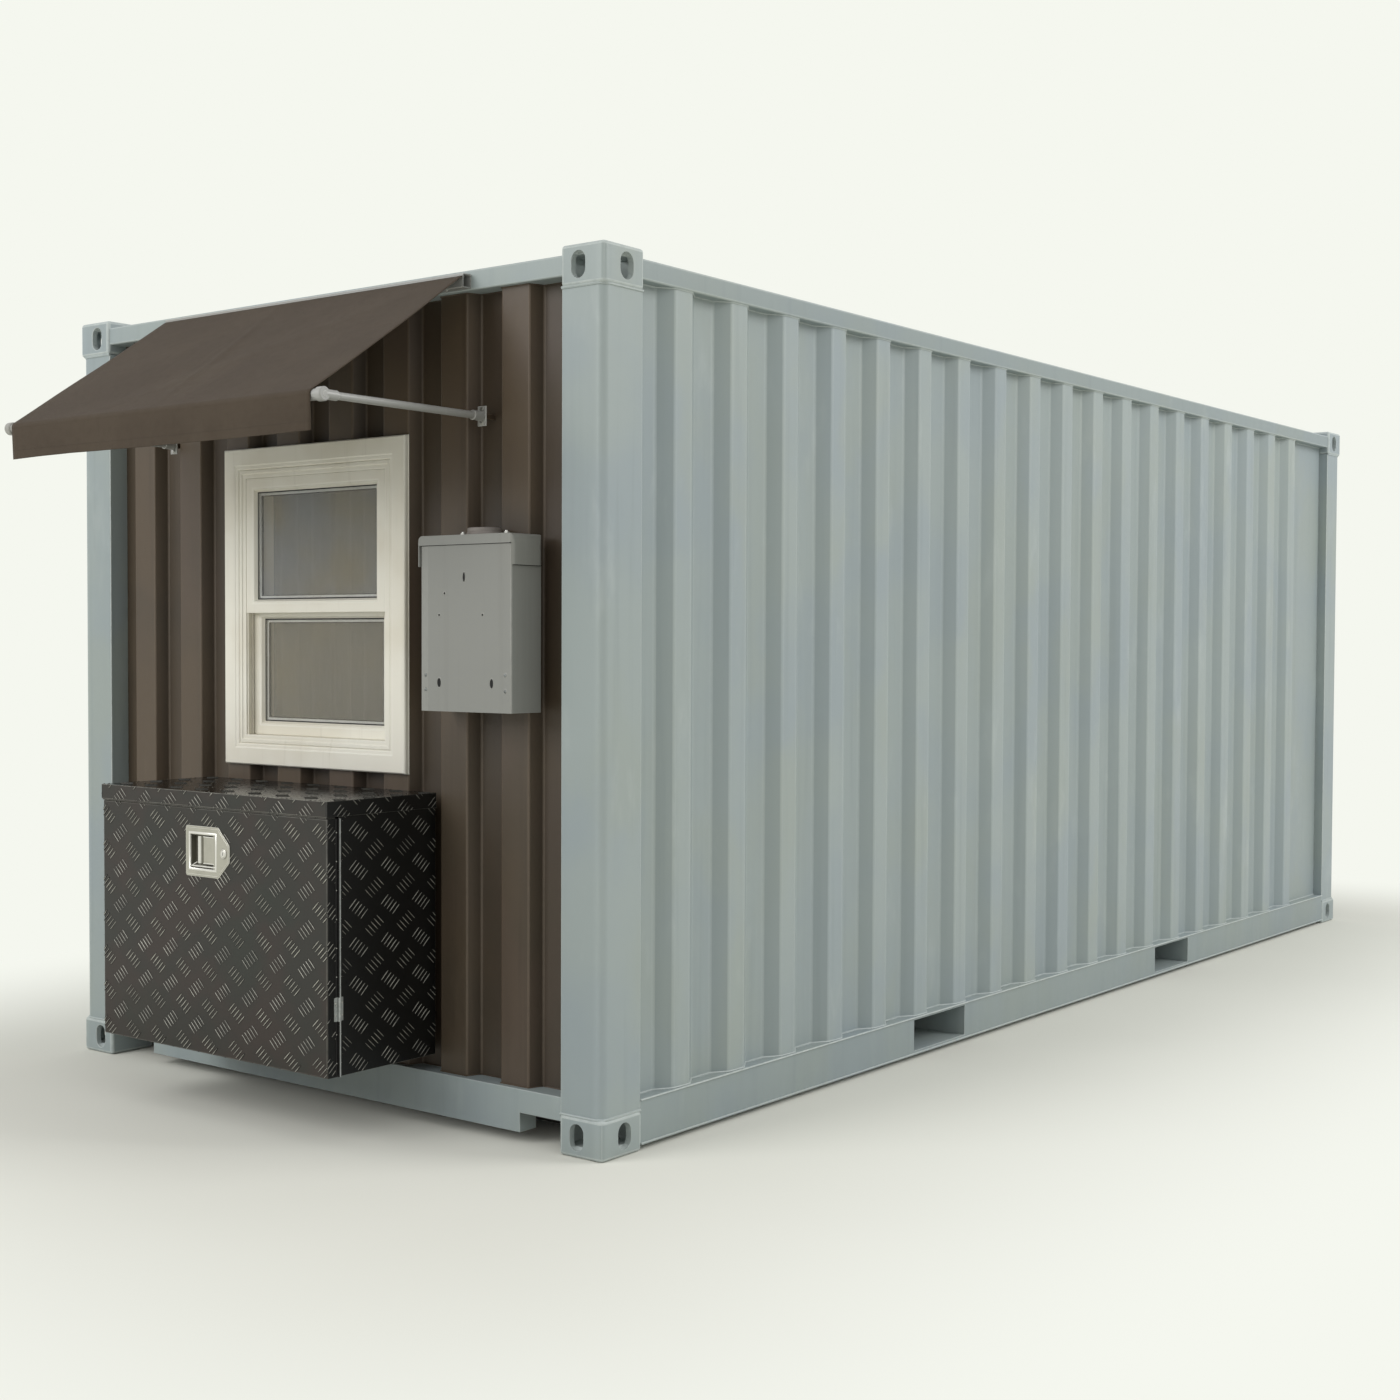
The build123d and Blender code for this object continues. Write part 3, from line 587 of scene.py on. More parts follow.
@dataclass(frozen=True)
class TreadPlate(Finish):
    """Black coated aluminium tread plate whose bars lighten towards the metal, partly wear and partly painted
    highlight, with painted shade round the bars' feet and on the box's sides, and a blacker, glossier top.
    """

    name: str
    colour: Colour
    warm: Colour
    cool: Colour
    bare_and_highlight: Colour
    # The near-black of the painted shade on the box's sides and round the bars' feet; the top is also mixed
    # towards it.
    side: Colour
    shaded_side_from: float = 0.5272
    level_from: float = 1.0105
    blend: float = 0.0006
    roughness: float = 0.4

    def build(self) -> bpy.types.Material:
        """Builds the plate."""
        graph = Graph(self.name)
        spot = graph.spot()
        broad = graph.noise(spot, 4.2, 3, 0.55)
        other = graph.noise(graph.spot((1, 1, 1), (0.4, 0.9, 0.2)), 3.1, 3, 0.55)
        fine = graph.noise(spot, 120, 4, 0.62)
        mark_wear_and_light = graph.noise(graph.spot((1, 1, 1.7)), 22, 4, 0.65)
        colour = graph.mix(broad.step(0.42, 0.62), self.colour, self.warm)
        colour = graph.mix(other.step(0.5, 0.68) * 0.8, colour, self.cool)
        # Painted shade: faces past the given distance across, the sides of the box, take the near-black
        # colour.
        side = graph.axis(0).size().step(self.shaded_side_from, self.shaded_side_from + self.blend)
        colour = graph.mix(side, colour, self.side)
        wear_and_painted_light = graph.attribute("wear_and_painted_light")
        # Painted shade: the bars' feet, marked below 0, also take it.
        colour = graph.mix(wear_and_painted_light.below(0.0) * 0.85, colour, self.side)
        dim = other.step(0.62, 0.36) * 0.4 + 0.6
        # The bars lighten towards the metal, partly wear and partly painted highlight, and less on the shaded
        # sides.
        bare_and_highlight = wear_and_painted_light.above(0.0) * (mark_wear_and_light.step(0.32, 0.62) * 0.5 + 0.5) * (1.0 - side * 0.4) * dim
        level = graph.axis(2).step(self.level_from, self.level_from + 0.0007)
        colour = graph.mix(level * 0.9, colour, self.side)
        colour = graph.mix(bare_and_highlight, colour, self.bare_and_highlight)
        return graph.finish(
            Base_Color=colour,
            Metallic=bare_and_highlight * 0.2,
            Roughness=self.roughness + (fine - 0.5) * 0.22 - bare_and_highlight * 0.08 - level * 0.22,
            Specular_IOR_Level=0.4,
            Normal=graph.bump(fine * 0.00008 + graph.noise(spot, 900, 2, 0.5) * 0.00006),
        )


@dataclass(frozen=True)
class Rubber(Finish):
    """Black rubber of seals and gaskets; a darker copy paints shade in holes and gaps."""

    name: str = "seal_rubber"
    colour: Colour = (34, 34, 33)
    bloom: Colour = (64, 63, 60)

    def build(self) -> bpy.types.Material:
        """Builds the rubber."""
        graph = Graph(self.name)
        cloud = graph.noise(graph.spot(), 14, 4, 0.6)
        fine = graph.noise(graph.spot(), 340, 3, 0.6)
        colour = graph.mix(cloud.step(0.45, 0.75) * 0.6, self.colour, self.bloom)
        return graph.finish(
            Base_Color=colour, Roughness=0.78 + (fine - 0.5) * 0.2, Normal=graph.bump(fine * 0.00006)
        )


@dataclass(frozen=True)
class Plywood(Finish):
    """Plywood floor boards laid across the container, with grain, seams and wear."""

    name: str = "plywood_floor"
    colour: Colour = (150, 112, 78)
    dark: Colour = (104, 74, 50)
    gap: Colour = (38, 28, 20)
    board: float = 0.61

    def build(self) -> bpy.types.Material:
        """Builds the plywood."""
        graph = Graph(self.name)
        spot = graph.spot()
        grain = graph.noise(graph.spot((46, 2.2, 46)), 1.0, 5, 0.65)
        broad = graph.noise(spot, 2.6, 3, 0.5)
        seam = graph.maths("PINGPONG", graph.axis(1) + 10.0, self.board / 2).step(0.004, 0.001)
        colour = graph.mix(grain.step(0.35, 0.7), self.colour, self.dark)
        colour = graph.mix(broad.step(0.4, 0.7) * 0.35, colour, self.dark)
        colour = graph.mix(seam * 0.85, colour, self.gap)
        return graph.finish(
            Base_Color=colour,
            Roughness=0.6 + (grain - 0.5) * 0.2,
            Normal=graph.bump(grain * 0.0004 - seam * 0.002),
        )


CONTAINER_GREY = Paint(
    name="container_grey",
    colour=(157, 167, 165),
    patch=(151, 162, 165),
    tinge=(157, 166, 160),
    edge=(199, 206, 202),
    grime_and_shade=(132, 143, 143),
    patch_size=0.55,
    streaks=0.35,
    grime_top=0.22,
    grime_share=0.25,
    edge_share=0.7,
    ripple=0.00035,
    # Painted shade: everything nearer the middle than 1.2 m across darkens, fully from 1.172 m in, which puts
    # shade into the side walls' valleys.
    recess_shade=RecessShade(axis=0, clean=1.200, shade_full=1.172, share=0.25),
)
UNDERFRAME_DARK = Paint(
    name="underframe_dark",
    colour=(52, 54, 54),
    patch=(60, 58, 54),
    tinge=(56, 54, 48),
    edge=(88, 88, 84),
    grime_and_shade=(78, 70, 60),
    roughness=0.7,
    streaks=0.35,
)
WALL_BROWN = Paint(
    name="wall_brown",
    colour=(84, 71, 55),
    patch=(75, 65, 52),
    tinge=(82, 69, 57),
    edge=(112, 97, 80),
    grime_and_shade=(46, 39, 30),
    patch_size=0.5,
    streaks=0.3,
    grime_top=0.5,
    roughness=0.46,
    ripple=0.0003,
    # Painted shade: the front wall's valleys, which lie deeper in along y, are darker.
    recess_shade=RecessShade(axis=1, clean=2.688, shade_full=2.652, share=0.4),
)
BOX_ENAMEL = Paint(
    name="box_enamel",
    colour=(137, 138, 133),
    patch=(132, 134, 128),
    tinge=(138, 138, 131),
    edge=(166, 166, 160),
    grime_and_shade=(116, 116, 110),
    streaks=0.22,
    grime_top=0.01,
    roughness=0.4,
    peel=0.00008,
)
HUB_GREY = Paint(
    name="hub_grey",
    colour=(134, 127, 121),
    patch=(126, 120, 115),
    tinge=(130, 126, 120),
    edge=(160, 154, 147),
    grime_and_shade=(104, 99, 94),
    streaks=0.2,
    grime_top=0.01,
    roughness=0.42,
    peel=0.0001,
)
VINYL = Vinyl()
GLASS = Glass()
ARM_GREY = Paint(
    name="arm_grey",
    colour=(160, 160, 156),
    patch=(153, 154, 151),
    tinge=(157, 156, 150),
    edge=(200, 200, 195),
    grime_and_shade=(130, 129, 124),
    streaks=0.12,
    grime_top=0.01,
    roughness=0.34,
    metallic=0.1,
)
TREAD_BLACK = TreadPlate(
    name="tread_black",
    colour=(42, 41, 36),
    warm=(50, 42, 37),
    cool=(40, 44, 37),
    bare_and_highlight=(206, 204, 192),
    # Painted shade for the box's sides and the bars' feet.
    side=(13, 13, 12),
)
STAINLESS = Metal(
    name="latch_stainless",
    colour=(182, 180, 167),
    dull=(158, 156, 143),
    grain=(40, 40, 900),
    roughness=0.34,
    metallic=0.55,
)
HINGE_STEEL = PianoHinge(
    name="hinge_steel",
    bright=(176, 180, 177),
    dull=(136, 140, 137),
    coat=(22, 21, 20),
    axis_y=HINGE_LINE_Y,
    barrel=0.0021,
    plate_mid=0.410,
    plate_half=0.0345,
)
ZINC = Metal(
    name="zinc_fasteners",
    colour=(200, 199, 192),
    dull=(140, 138, 130),
    grain=(300, 300, 300),
    roughness=0.36,
)
BRIGHT_ZINC = Metal(
    name="bright_zinc",
    colour=(240, 240, 236),
    dull=(205, 204, 198),
    grain=(200, 200, 200),
    roughness=0.25,
    metallic=0.6,
)
SPACER_GREY = Metal(
    name="glass_spacer",
    colour=(198, 200, 196),
    dull=(160, 162, 158),
    grain=(80, 80, 500),
    roughness=0.5,
    metallic=0.2,
)
DARK_STEEL = Metal(
    name="lock_gear_steel",
    colour=(146, 150, 148),
    dull=(96, 98, 96),
    grain=(60, 60, 60),
    roughness=0.48,
    metallic=0.8,
)
RUBBER = Rubber()
# Painted shade: the black of the cover's holes and of the strips under the hood.
SHADE_BLACK = Rubber(name="painted_shade_black", colour=(11, 11, 11), bloom=(20, 20, 19))
PLYWOOD = Plywood()


@dataclass(frozen=True)
class Coat:
    """A finish with the material slot of the record that it fills."""

    finish: Finish
    slot: str


CONTAINER = Coat(CONTAINER_GREY, "container_paint")
FRONT_BROWN = Coat(WALL_BROWN, "brown_paint")
WINDOW_WHITE = Coat(VINYL, "window_white")
AWNING_GREY = Coat(ARM_GREY, "awning_metal")
BOX_GREY = Coat(BOX_ENAMEL, "box_paint")
TREAD = Coat(TREAD_BLACK, "toolbox_black")
LATCH_STEEL = Coat(STAINLESS, "latch_steel")


def placed(name: str, data: bpy.types.ID) -> bpy.types.Object:
    """A new object of the scene."""
    made = bpy.data.objects.new(name, data)
    bpy.context.scene.collection.objects.link(made)
    return made


class Shape:
    """A mesh in the making, whose faces carry one number: above 0 a face is lighter, partly wear and partly a
    painted highlight, and below 0 it is darker, a painted shade.
    """

    def __init__(self) -> None:
        """Starts empty."""
        self.bm = bmesh.new()
        self.bm.faces.layers.float.new("wear_and_painted_light")

    @property
    def wear_and_painted_light(self) -> bmesh.types.BMLayerItem:
        """The layer that holds how much lighter or darker each face is painted."""
        return self.bm.faces.layers.float["wear_and_painted_light"]

    def faced(self) -> "Shape":
        """Turns the faces outwards."""
        bmesh.ops.recalc_face_normals(self.bm, faces=self.bm.faces)
        return self

    @classmethod
    def block(cls, low: Point, high: Point, bevel: float = 0.0) -> "Shape":
        """A box between two corners with rounded edges.

        Args:
            low: its lowest corner.
            high: its highest corner.
            bevel: how far the rounding reaches.

        Returns:
            The box.
        """
        shape = cls()
        size = Vector(high) - Vector(low)
        place = Matrix.Translation((Vector(high) + Vector(low)) / 2) @ Matrix.Diagonal((*size, 1))
        bmesh.ops.create_cube(shape.bm, size=1, matrix=place)
        if bevel:
            shape.bevel(shape.bm.edges, bevel)
        return shape

    @classmethod
    def rod(cls, start: Point, end: Point, radius: float, bevel: float = 0.0, sides: int = 24) -> "Shape":
        """A round rod between two points.

        Args:
            start: the middle of one end.
            end: the middle of the other.
            radius: its radius.
            bevel: the rounding of both rims.
            sides: how many sides it has.

        Returns:
            The rod.
        """
        shape = cls()
        run = Vector(end) - Vector(start)
        turn = UP.rotation_difference(run).to_matrix().to_4x4()
        bmesh.ops.create_cone(
            shape.bm,
            cap_ends=True,
            segments=sides,
            radius1=radius,
            radius2=radius,
            depth=run.length,
            matrix=Matrix.Translation((Vector(start) + Vector(end)) / 2) @ turn,
        )
        if bevel:
            shape.bevel([e for e in shape.bm.edges if e.calc_face_angle(0) > 1.2], bevel)
        return shape

    @classmethod
    def turned(cls, profile: Sequence[Point], base: Point, axis: Point, steps: int = 32) -> "Shape":
        """A solid of revolution.

        Args:
            profile: (radius, height) points from the axis and back to it.
            base: where height 0 lies.
            axis: which way the height runs.
            steps: how many steps make the round.

        Returns:
            The solid.
        """
        shape = cls()
        verts = [shape.bm.verts.new((radius, 0, height)) for radius, height in profile]
        edges = [shape.bm.edges.new(pair) for pair in zip(verts, verts[1:])]
        bmesh.ops.spin(
            shape.bm,
            geom=verts + edges,
            cent=(0, 0, 0),
            axis=(0, 0, 1),
            dvec=(0, 0, 0),
            angle=2 * math.pi,
            steps=steps,
            use_merge=True,
        )
        bmesh.ops.remove_doubles(shape.bm, verts=shape.bm.verts, dist=1e-6)
        turn = UP.rotation_difference(Vector(axis)).to_matrix().to_4x4()
        return shape.faced().moved(Matrix.Translation(Vector(base)) @ turn)

    @classmethod
    def prism(cls, outline: Sequence[Point], depth: Point, bevel: float = 0.0) -> "Shape":
        """A flat outline drawn out into a solid.

        Args:
            outline: the corners of one end, in order.
            depth: the way and length that it is drawn out.
            bevel: the rounding of its edges.

        Returns:
            The solid.
        """
        shape = cls()
        face = shape.bm.faces.new([shape.bm.verts.new(point) for point in outline])
        drawn = bmesh.ops.extrude_face_region(shape.bm, geom=[face])["geom"]
        verts = [g for g in drawn if isinstance(g, bmesh.types.BMVert)]
        bmesh.ops.translate(shape.bm, verts=verts, vec=Vector(depth))
        if len(shape.bm.faces) == len(outline) + 1:
            shape.bm.faces.new(list(reversed(face.verts)))
        shape.faced()
        if bevel:
            shape.bevel([e for e in shape.bm.edges if e.calc_face_angle(0) > 0.6], bevel)
        return shape

    @classmethod
    def moulding(cls, low: Point, high: Point, profile: Sequence[Point], bevel: float = 0.0) -> "Shape":
        """A frame with mitred corners round an upright rectangle.

        Args:
            low: the rectangle's lowest x and z.
            high: its highest x and z.
            profile: the bar's section as (inset from the rectangle, y) points, in order.
            bevel: the rounding of its long edges.

        Returns:
            The frame.
        """
        shape = cls()
        bm = shape.bm
        corners = []
        for x, z, x_way, z_way in (
            (low[0], low[1], 1, 1), (high[0], low[1], -1, 1), (high[0], high[1], -1, -1),
            (low[0], high[1], 1, -1),
        ):
            verts = [bm.verts.new((x + x_way * inset, y, z + z_way * inset)) for inset, y in profile]
            corners.append([bm.edges.new((a, b)) for a, b in zip(verts, verts[1:] + verts[:1])])
        for near, far in zip(corners, corners[1:] + corners[:1]):
            bmesh.ops.bridge_loops(bm, edges=near + far)
        shape.faced()
        if bevel:
            section = {edge for corner in corners for edge in corner}
            shape.bevel([e for e in bm.edges if e not in section and e.calc_face_angle(0) > 0.3], bevel)
        return shape

    @classmethod
    def bead(cls, path: Sequence[Point], radius: float, sides: int = 6, closed: bool = False) -> "Shape":
        """A thin round bead, such as a weld, along a path.

        Args:
            path: the points that it follows.
            radius: its radius.
            sides: how many sides it has.
            closed: whether it ends where it starts.

        Returns:
            The bead.
        """
        shape = cls()
        points = [Vector(p) for p in path]
        rings = []
        for number, point in enumerate(points):
            before = points[number - 1] if number or closed else point
            after = points[(number + 1) % len(points)] if number < len(points) - 1 or closed else point
            turn = UP.rotation_difference(after - before).to_matrix().to_4x4()
            place = Matrix.Translation(point) @ turn
            made = bmesh.ops.create_circle(shape.bm, segments=sides, radius=radius, matrix=place)["verts"]
            rings.append([e for e in shape.bm.edges if e.verts[0] in made and e.verts[1] in made])
        pairs = zip(rings, rings[1:] + rings[:1]) if closed else zip(rings, rings[1:])
        for near, far in pairs:
            bmesh.ops.bridge_loops(shape.bm, edges=near + far)
        if not closed:
            bmesh.ops.holes_fill(shape.bm, edges=rings[0] + rings[-1], sides=sides)
        return shape.faced()

    @classmethod
    def copy_of(cls, node: str) -> "Shape":
        """A CAD node's shape with whole flat faces."""
        shape = cls()
        bm = shape.bm
        bm.from_mesh(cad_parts[node].data)
        bmesh.ops.remove_doubles(bm, verts=bm.verts, dist=MERGE)
        bmesh.ops.dissolve_limit(bm, angle_limit=FLAT, verts=bm.verts, edges=bm.edges, delimit=set())
        return shape

    def copy(self) -> "Shape":
        """The same shape again."""
        twin = Shape()
        twin.bm.free()
        twin.bm = self.bm.copy()
        return twin

    def bevel(
        self, edges: Iterable[bmesh.types.BMEdge], width: float, segments: int = 2, wear_and_painted_light: float = 1.0
    ) -> "Shape":
        """Rounds edges and marks how much lighter or darker the new faces are painted.

        Args:
            edges: the edges to round.
            width: how far the rounding reaches along each face.
            segments: how many faces round an edge.
            wear_and_painted_light: how far the new faces are lightened, partly wear and partly painted
                highlight, or below 0 darkened as painted shade.

        Returns:
            This shape.
        """
        made = bmesh.ops.bevel(
            self.bm,
            geom=list(edges),
            offset=width,
            offset_type="OFFSET",
            segments=segments,
            profile=0.5,
            affect="EDGES",
            clamp_overlap=True,
            material=-1,
        )
        layer = self.wear_and_painted_light
        for face in made["faces"]:
            face[layer] = wear_and_painted_light
        return self

    def soften(
        self,
        width: float,
        segments: int = 2,
        shortest: float = 0.0,
        angle: tuple[float, float] = SQUARE,
        where: Callable[[Vector, Vector], bool] | None = None,
        wear_and_painted_light: float = 1.0,
        outside: bool = False,
    ) -> "Shape":
        """Rounds the edges that lie within an angle, a length and a place.

        Args:
            width: how far the rounding reaches.
            segments: how many faces round an edge.
            shortest: the least length of an edge.
            angle: the least and most angle between an edge's faces, in degrees.
            where: tells from an edge's ends whether it is taken.
            wear_and_painted_light: how far the new faces are lightened, partly wear and partly painted
                highlight, or below 0 darkened as painted shade.
            outside: whether only edges that point outwards are taken.

        Returns:
            This shape.
        """
        least, most = math.radians(angle[0]), math.radians(angle[1])
        taken = [
            edge
            for edge in self.bm.edges
            if len(edge.link_faces) == 2
            and least < edge.calc_face_angle(0) < most
            and edge.calc_length() >= shortest
            and (where is None or where(edge.verts[0].co, edge.verts[1].co))
            and (edge.is_convex or not outside)
        ]
        return self.bevel(taken, width, segments, wear_and_painted_light) if taken else self

    def mark_wear_and_light(self, share: float, where: Callable[[bmesh.types.BMFace], bool] | None = None) -> "Shape":
        """Sets how far the faces, or those that where takes, are lightened, partly wear and partly painted
        highlight, or below 0 darkened as painted shade.
        """
        for face in self.bm.faces:
            if where is None or where(face):
                face[self.wear_and_painted_light] = share
        return self

    def moved(self, matrix: Matrix) -> "Shape":
        """Moves the whole shape."""
        bmesh.ops.transform(self.bm, matrix=matrix, verts=self.bm.verts)
        return self

    def mirrored(self) -> "Shape":
        """The same shape on the other side of the cabin."""
        twin = self.copy().moved(Matrix.Diagonal((-1, 1, 1, 1)))
        bmesh.ops.reverse_faces(twin.bm, faces=twin.bm.faces)
        return twin

    def both_sides(self) -> "Shape":
        """This shape together with its mirror image."""
        return self.add(self.mirrored())

    def add(self, *others: "Shape") -> "Shape":
        """Takes other shapes into this one."""
        for other in others:
            mesh = bpy.data.meshes.new("taken")
            other.bm.to_mesh(mesh)
            self.bm.from_mesh(mesh)
            bpy.data.meshes.remove(mesh)
        return self

    def repeated(self, places: Iterable[Matrix]) -> "Shape":
        """This shape at several places.

        Args:
            places: one matrix for each copy.

        Returns:
            The copies as one shape.
        """
        mesh = bpy.data.meshes.new("repeated")
        self.bm.to_mesh(mesh)
        made = Shape()
        for place in places:
            before = set(made.bm.verts)
            made.bm.from_mesh(mesh)
            bmesh.ops.transform(made.bm, matrix=place, verts=[v for v in made.bm.verts if v not in before])
        bpy.data.meshes.remove(mesh)
        return made

    def piece(self, name: str, coat: Coat, *nodes: str, body: Body = Body.CABIN) -> bpy.types.Object:
        """Ends the shape as a piece of the scene.

        Args:
            name: the piece's name.
            coat: its finish, whose material it gets; the coat's slot is not used.
            nodes: the CAD nodes that it stands for.
            body: the CAD body that it moves with.

        Returns:
            The new object.
        """
        mesh = bpy.data.meshes.new(name)
        self.bm.to_mesh(mesh)
        self.bm.free()
        mesh.polygons.foreach_set("use_smooth", [True] * len(mesh.polygons))
        mesh.set_sharp_from_angle(angle=CREASE)
        mesh.materials.append(material_of(coat.finish))
        made = placed(name, mesh)
        shading = made.modifiers.new("even_shading", "WEIGHTED_NORMAL")
        shading.keep_sharp = True
        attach(made, body.value)
        if nodes:
            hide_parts(*nodes)
        log.info("%s: %d faces, on %s", name, len(mesh.polygons), body.value)
        return made


def hex_bolt(base: Point, axis: Point, size: float) -> Shape:
    """A hexagon bolt head on a washer.

    Args:
        base: the middle of the washer's underside.
        axis: which way the head stands.
        size: half the head's width across flats.

    Returns:
        The bolt head.
    """
    base, axis = Vector(base), Vector(axis).normalized()
    washer = Shape.rod(base, base + axis * size * 0.2, size * 1.5, size * 0.06, 20)
    head = Shape.rod(base + axis * size * 0.2, base + axis * size * 0.95, size * 1.15, size * 0.12, 6)
    return washer.add(head)


def pan_screw(base: Point, axis: Point, radius: float) -> Shape:
    """A round screw head with a recess.

    Args:
        base: the middle of the head's underside.
        axis: which way the head stands.
        radius: the head's radius.

    Returns:
        The screw head.
    """
    section = ((0, 0), (1, 0), (1, 0.18), (0.82, 0.42), (0.4, 0.56), (0.34, 0.3), (0, 0.22))
    return Shape.turned([(radius * across, radius * up) for across, up in section], base, axis, 16)


@dataclass(frozen=True)
class Corrugation:
    """The folds of a corrugated sheet."""

    first: float
    pitch: float
    count: int
    outer: float
    slope: float
    depth: float

    def skin(self, start: float, end: float, origin: float = 0.0) -> list[tuple[float, float]]:
        """The outer skin as (along, how deep) points.

        Args:
            start: where the sheet starts.
            end: where it ends.
            origin: where the first fold is measured from.

        Returns:
            The points in order.
        """
        points = [(start, self.depth)]
        for number in range(self.count):
            near = origin + self.first + number * self.pitch
            far = near + self.outer
            points += [(near - self.slope, self.depth), (near, 0.0)]
            points += [(far, 0.0), (far + self.slope, self.depth)]
        return points + [(end, self.depth)]


@dataclass
class Shell:
    """Castings, posts, rails, headers and sills, with their welds."""

    casting_round: float = 0.011
    rim_round: float = 0.003
    tube_round: float = 0.006
    sill_round: float = 0.003
    weld: float = 0.0045
    lip: float = 0.0030
    skin: float = 0.004
    corner: float = 0.026
    post_round: float = 0.003
    web_reach: float = 0.004
    plane_reach: float = 0.0055
    hole_reach: float = 0.012
    lip_lift: float = 0.4
    arc_steps: int = 7

    def castings(self) -> None:
        """Rounds the corner castings and the rims of their holes."""
        for node in ("front_right", "front_left", "rear_right", "rear_left"):
            low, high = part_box(f"castings_{node}")
            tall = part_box("front_corner_posts")[0].z

            def offsets(a: Vector, b: Vector) -> list[float]:
                """How far an edge's middle lies from the casting's outer planes, the nearest first."""
                mid = (a + b) / 2
                return sorted([
                    min(mid.x - low.x, high.x - mid.x),
                    min(mid.y - low.y, high.y - mid.y),
                    min(abs(mid.z - z) for z in (low.z, tall, high.z - tall, high.z)),
                ])

            def inside(face: bmesh.types.BMFace) -> bool:
                """Whether a face lies within the casting's skin."""
                mid = face.calc_center_median()
                return all(a + self.skin < c < b - self.skin for a, b, c in zip(low, high, mid))

            def on_corner(a: Vector, b: Vector) -> bool:
                """Whether an edge is one of the block's own."""
                return offsets(a, b)[1] < self.plane_reach

            def on_rim(a: Vector, b: Vector) -> bool:
                """Whether an edge is the rim of a hole."""
                return offsets(a, b)[0] < 0.0004 and offsets(a, b)[1] > self.hole_reach

            # Painted light: the faces inside the casting, seen through its holes, are marked lighter; its
            # rounded corners and hole rims are marked lighter too, partly wear and partly painted highlight.
            shape = Shape.copy_of(f"castings_{node}").mark_wear_and_light(0.6, where=inside)
            shape.soften(self.casting_round, 3, angle=(50, 130), where=on_corner, wear_and_painted_light=0.8)
            shape.soften(self.rim_round, where=on_rim)
            shape.piece(f"corner_fittings_{node}", CONTAINER, f"castings_{node}")

    def posts(self) -> None:
        """Rounds the posts and lays the welds between them and the castings."""
        for end in ("front", "rear"):
            node = f"{end}_corner_posts"
            Shape.copy_of(node).soften(self.post_round, 2, 0.5).piece(f"{end}_posts", CONTAINER, node)
        low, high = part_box("front_corner_posts")
        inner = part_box("front_header")[1].x
        beads = Shape()
        mid_y = (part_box("castings_front_right")[0].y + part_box("castings_rear_right")[1].y) / 2
        for z in (low.z, high.z):
            path = [(inner, low.y, z)]
            for step in range(self.arc_steps):
                turn = math.pi / 2 * step / (self.arc_steps - 1)
                path.append((
                    high.x - self.corner + self.corner * math.sin(turn),
                    low.y + self.corner - self.corner * math.cos(turn),
                    z,
                ))
            path.append((high.x, high.y, z))
            bead = Shape.bead(path, self.weld)
            rear = bead.copy().moved(Matrix.Translation((0, 2 * mid_y, 0)) @ Matrix.Diagonal((1, -1, 1, 1)))
            bmesh.ops.reverse_faces(rear.bm, faces=rear.bm.faces)
            beads.add(bead, rear)
        # Painted highlight: the welds are marked lighter.
        beads.both_sides().mark_wear_and_light(0.5).piece("casting_welds", CONTAINER)

    def beams(self) -> None:
        """Rounds the rails, headers and sills."""
        for node, width, shortest in (
            ("top_side_rails", self.tube_round, 0.5), ("front_header", self.tube_round, 0.5),
            ("rear_header", self.tube_round, 0.5), ("front_sill", self.sill_round, 0.03),
            ("rear_sill", self.sill_round, 0.03),
        ):
            shape = Shape.copy_of(node)
            # Painted shade: the top side rails are marked darker all over.
            if node == "top_side_rails":
                shape.mark_wear_and_light(-0.55)
            shape.soften(width, 3, shortest, wear_and_painted_light=0.4, outside=True)
            shape.piece(f"{node}_round", CONTAINER, node)
        for side in Side:
            name = side.name.lower()
            node = f"bottom_rail_{name}"
            low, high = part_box(node)
            web = max(abs(low.x), abs(high.x)) - self.web_reach

            def on_web(face: bmesh.types.BMFace) -> bool:
                """Whether a face lies in the rail's web, behind its lips."""
                return abs(face.normal.x) > 0.9 and abs(face.calc_center_median().x) < web

            # Painted shade: the web under the rail's lips is marked darker.
            shape = Shape.copy_of(node).mark_wear_and_light(-0.4, where=on_web).soften(self.lip * 0.8, 2, 0.04)
            shape.piece(f"{node}_round", CONTAINER, node)
            x = (high.x if side is Side.RIGHT else low.x) - side.value * self.lip
            beads = Shape()
            for z in (low.z + self.lip, high.z - self.lip * self.lip_lift):
                beads.add(Shape.bead([(x, low.y, z), (x, high.y, z)], self.lip, 8))
            # Painted highlight: the beads along the lips are marked light.
            beads.mark_wear_and_light(1.0).piece(f"{node}_lips", CONTAINER)

    def build(self) -> None:
        """Builds the shell's frame."""
        self.castings()
        self.posts()
        self.beams()


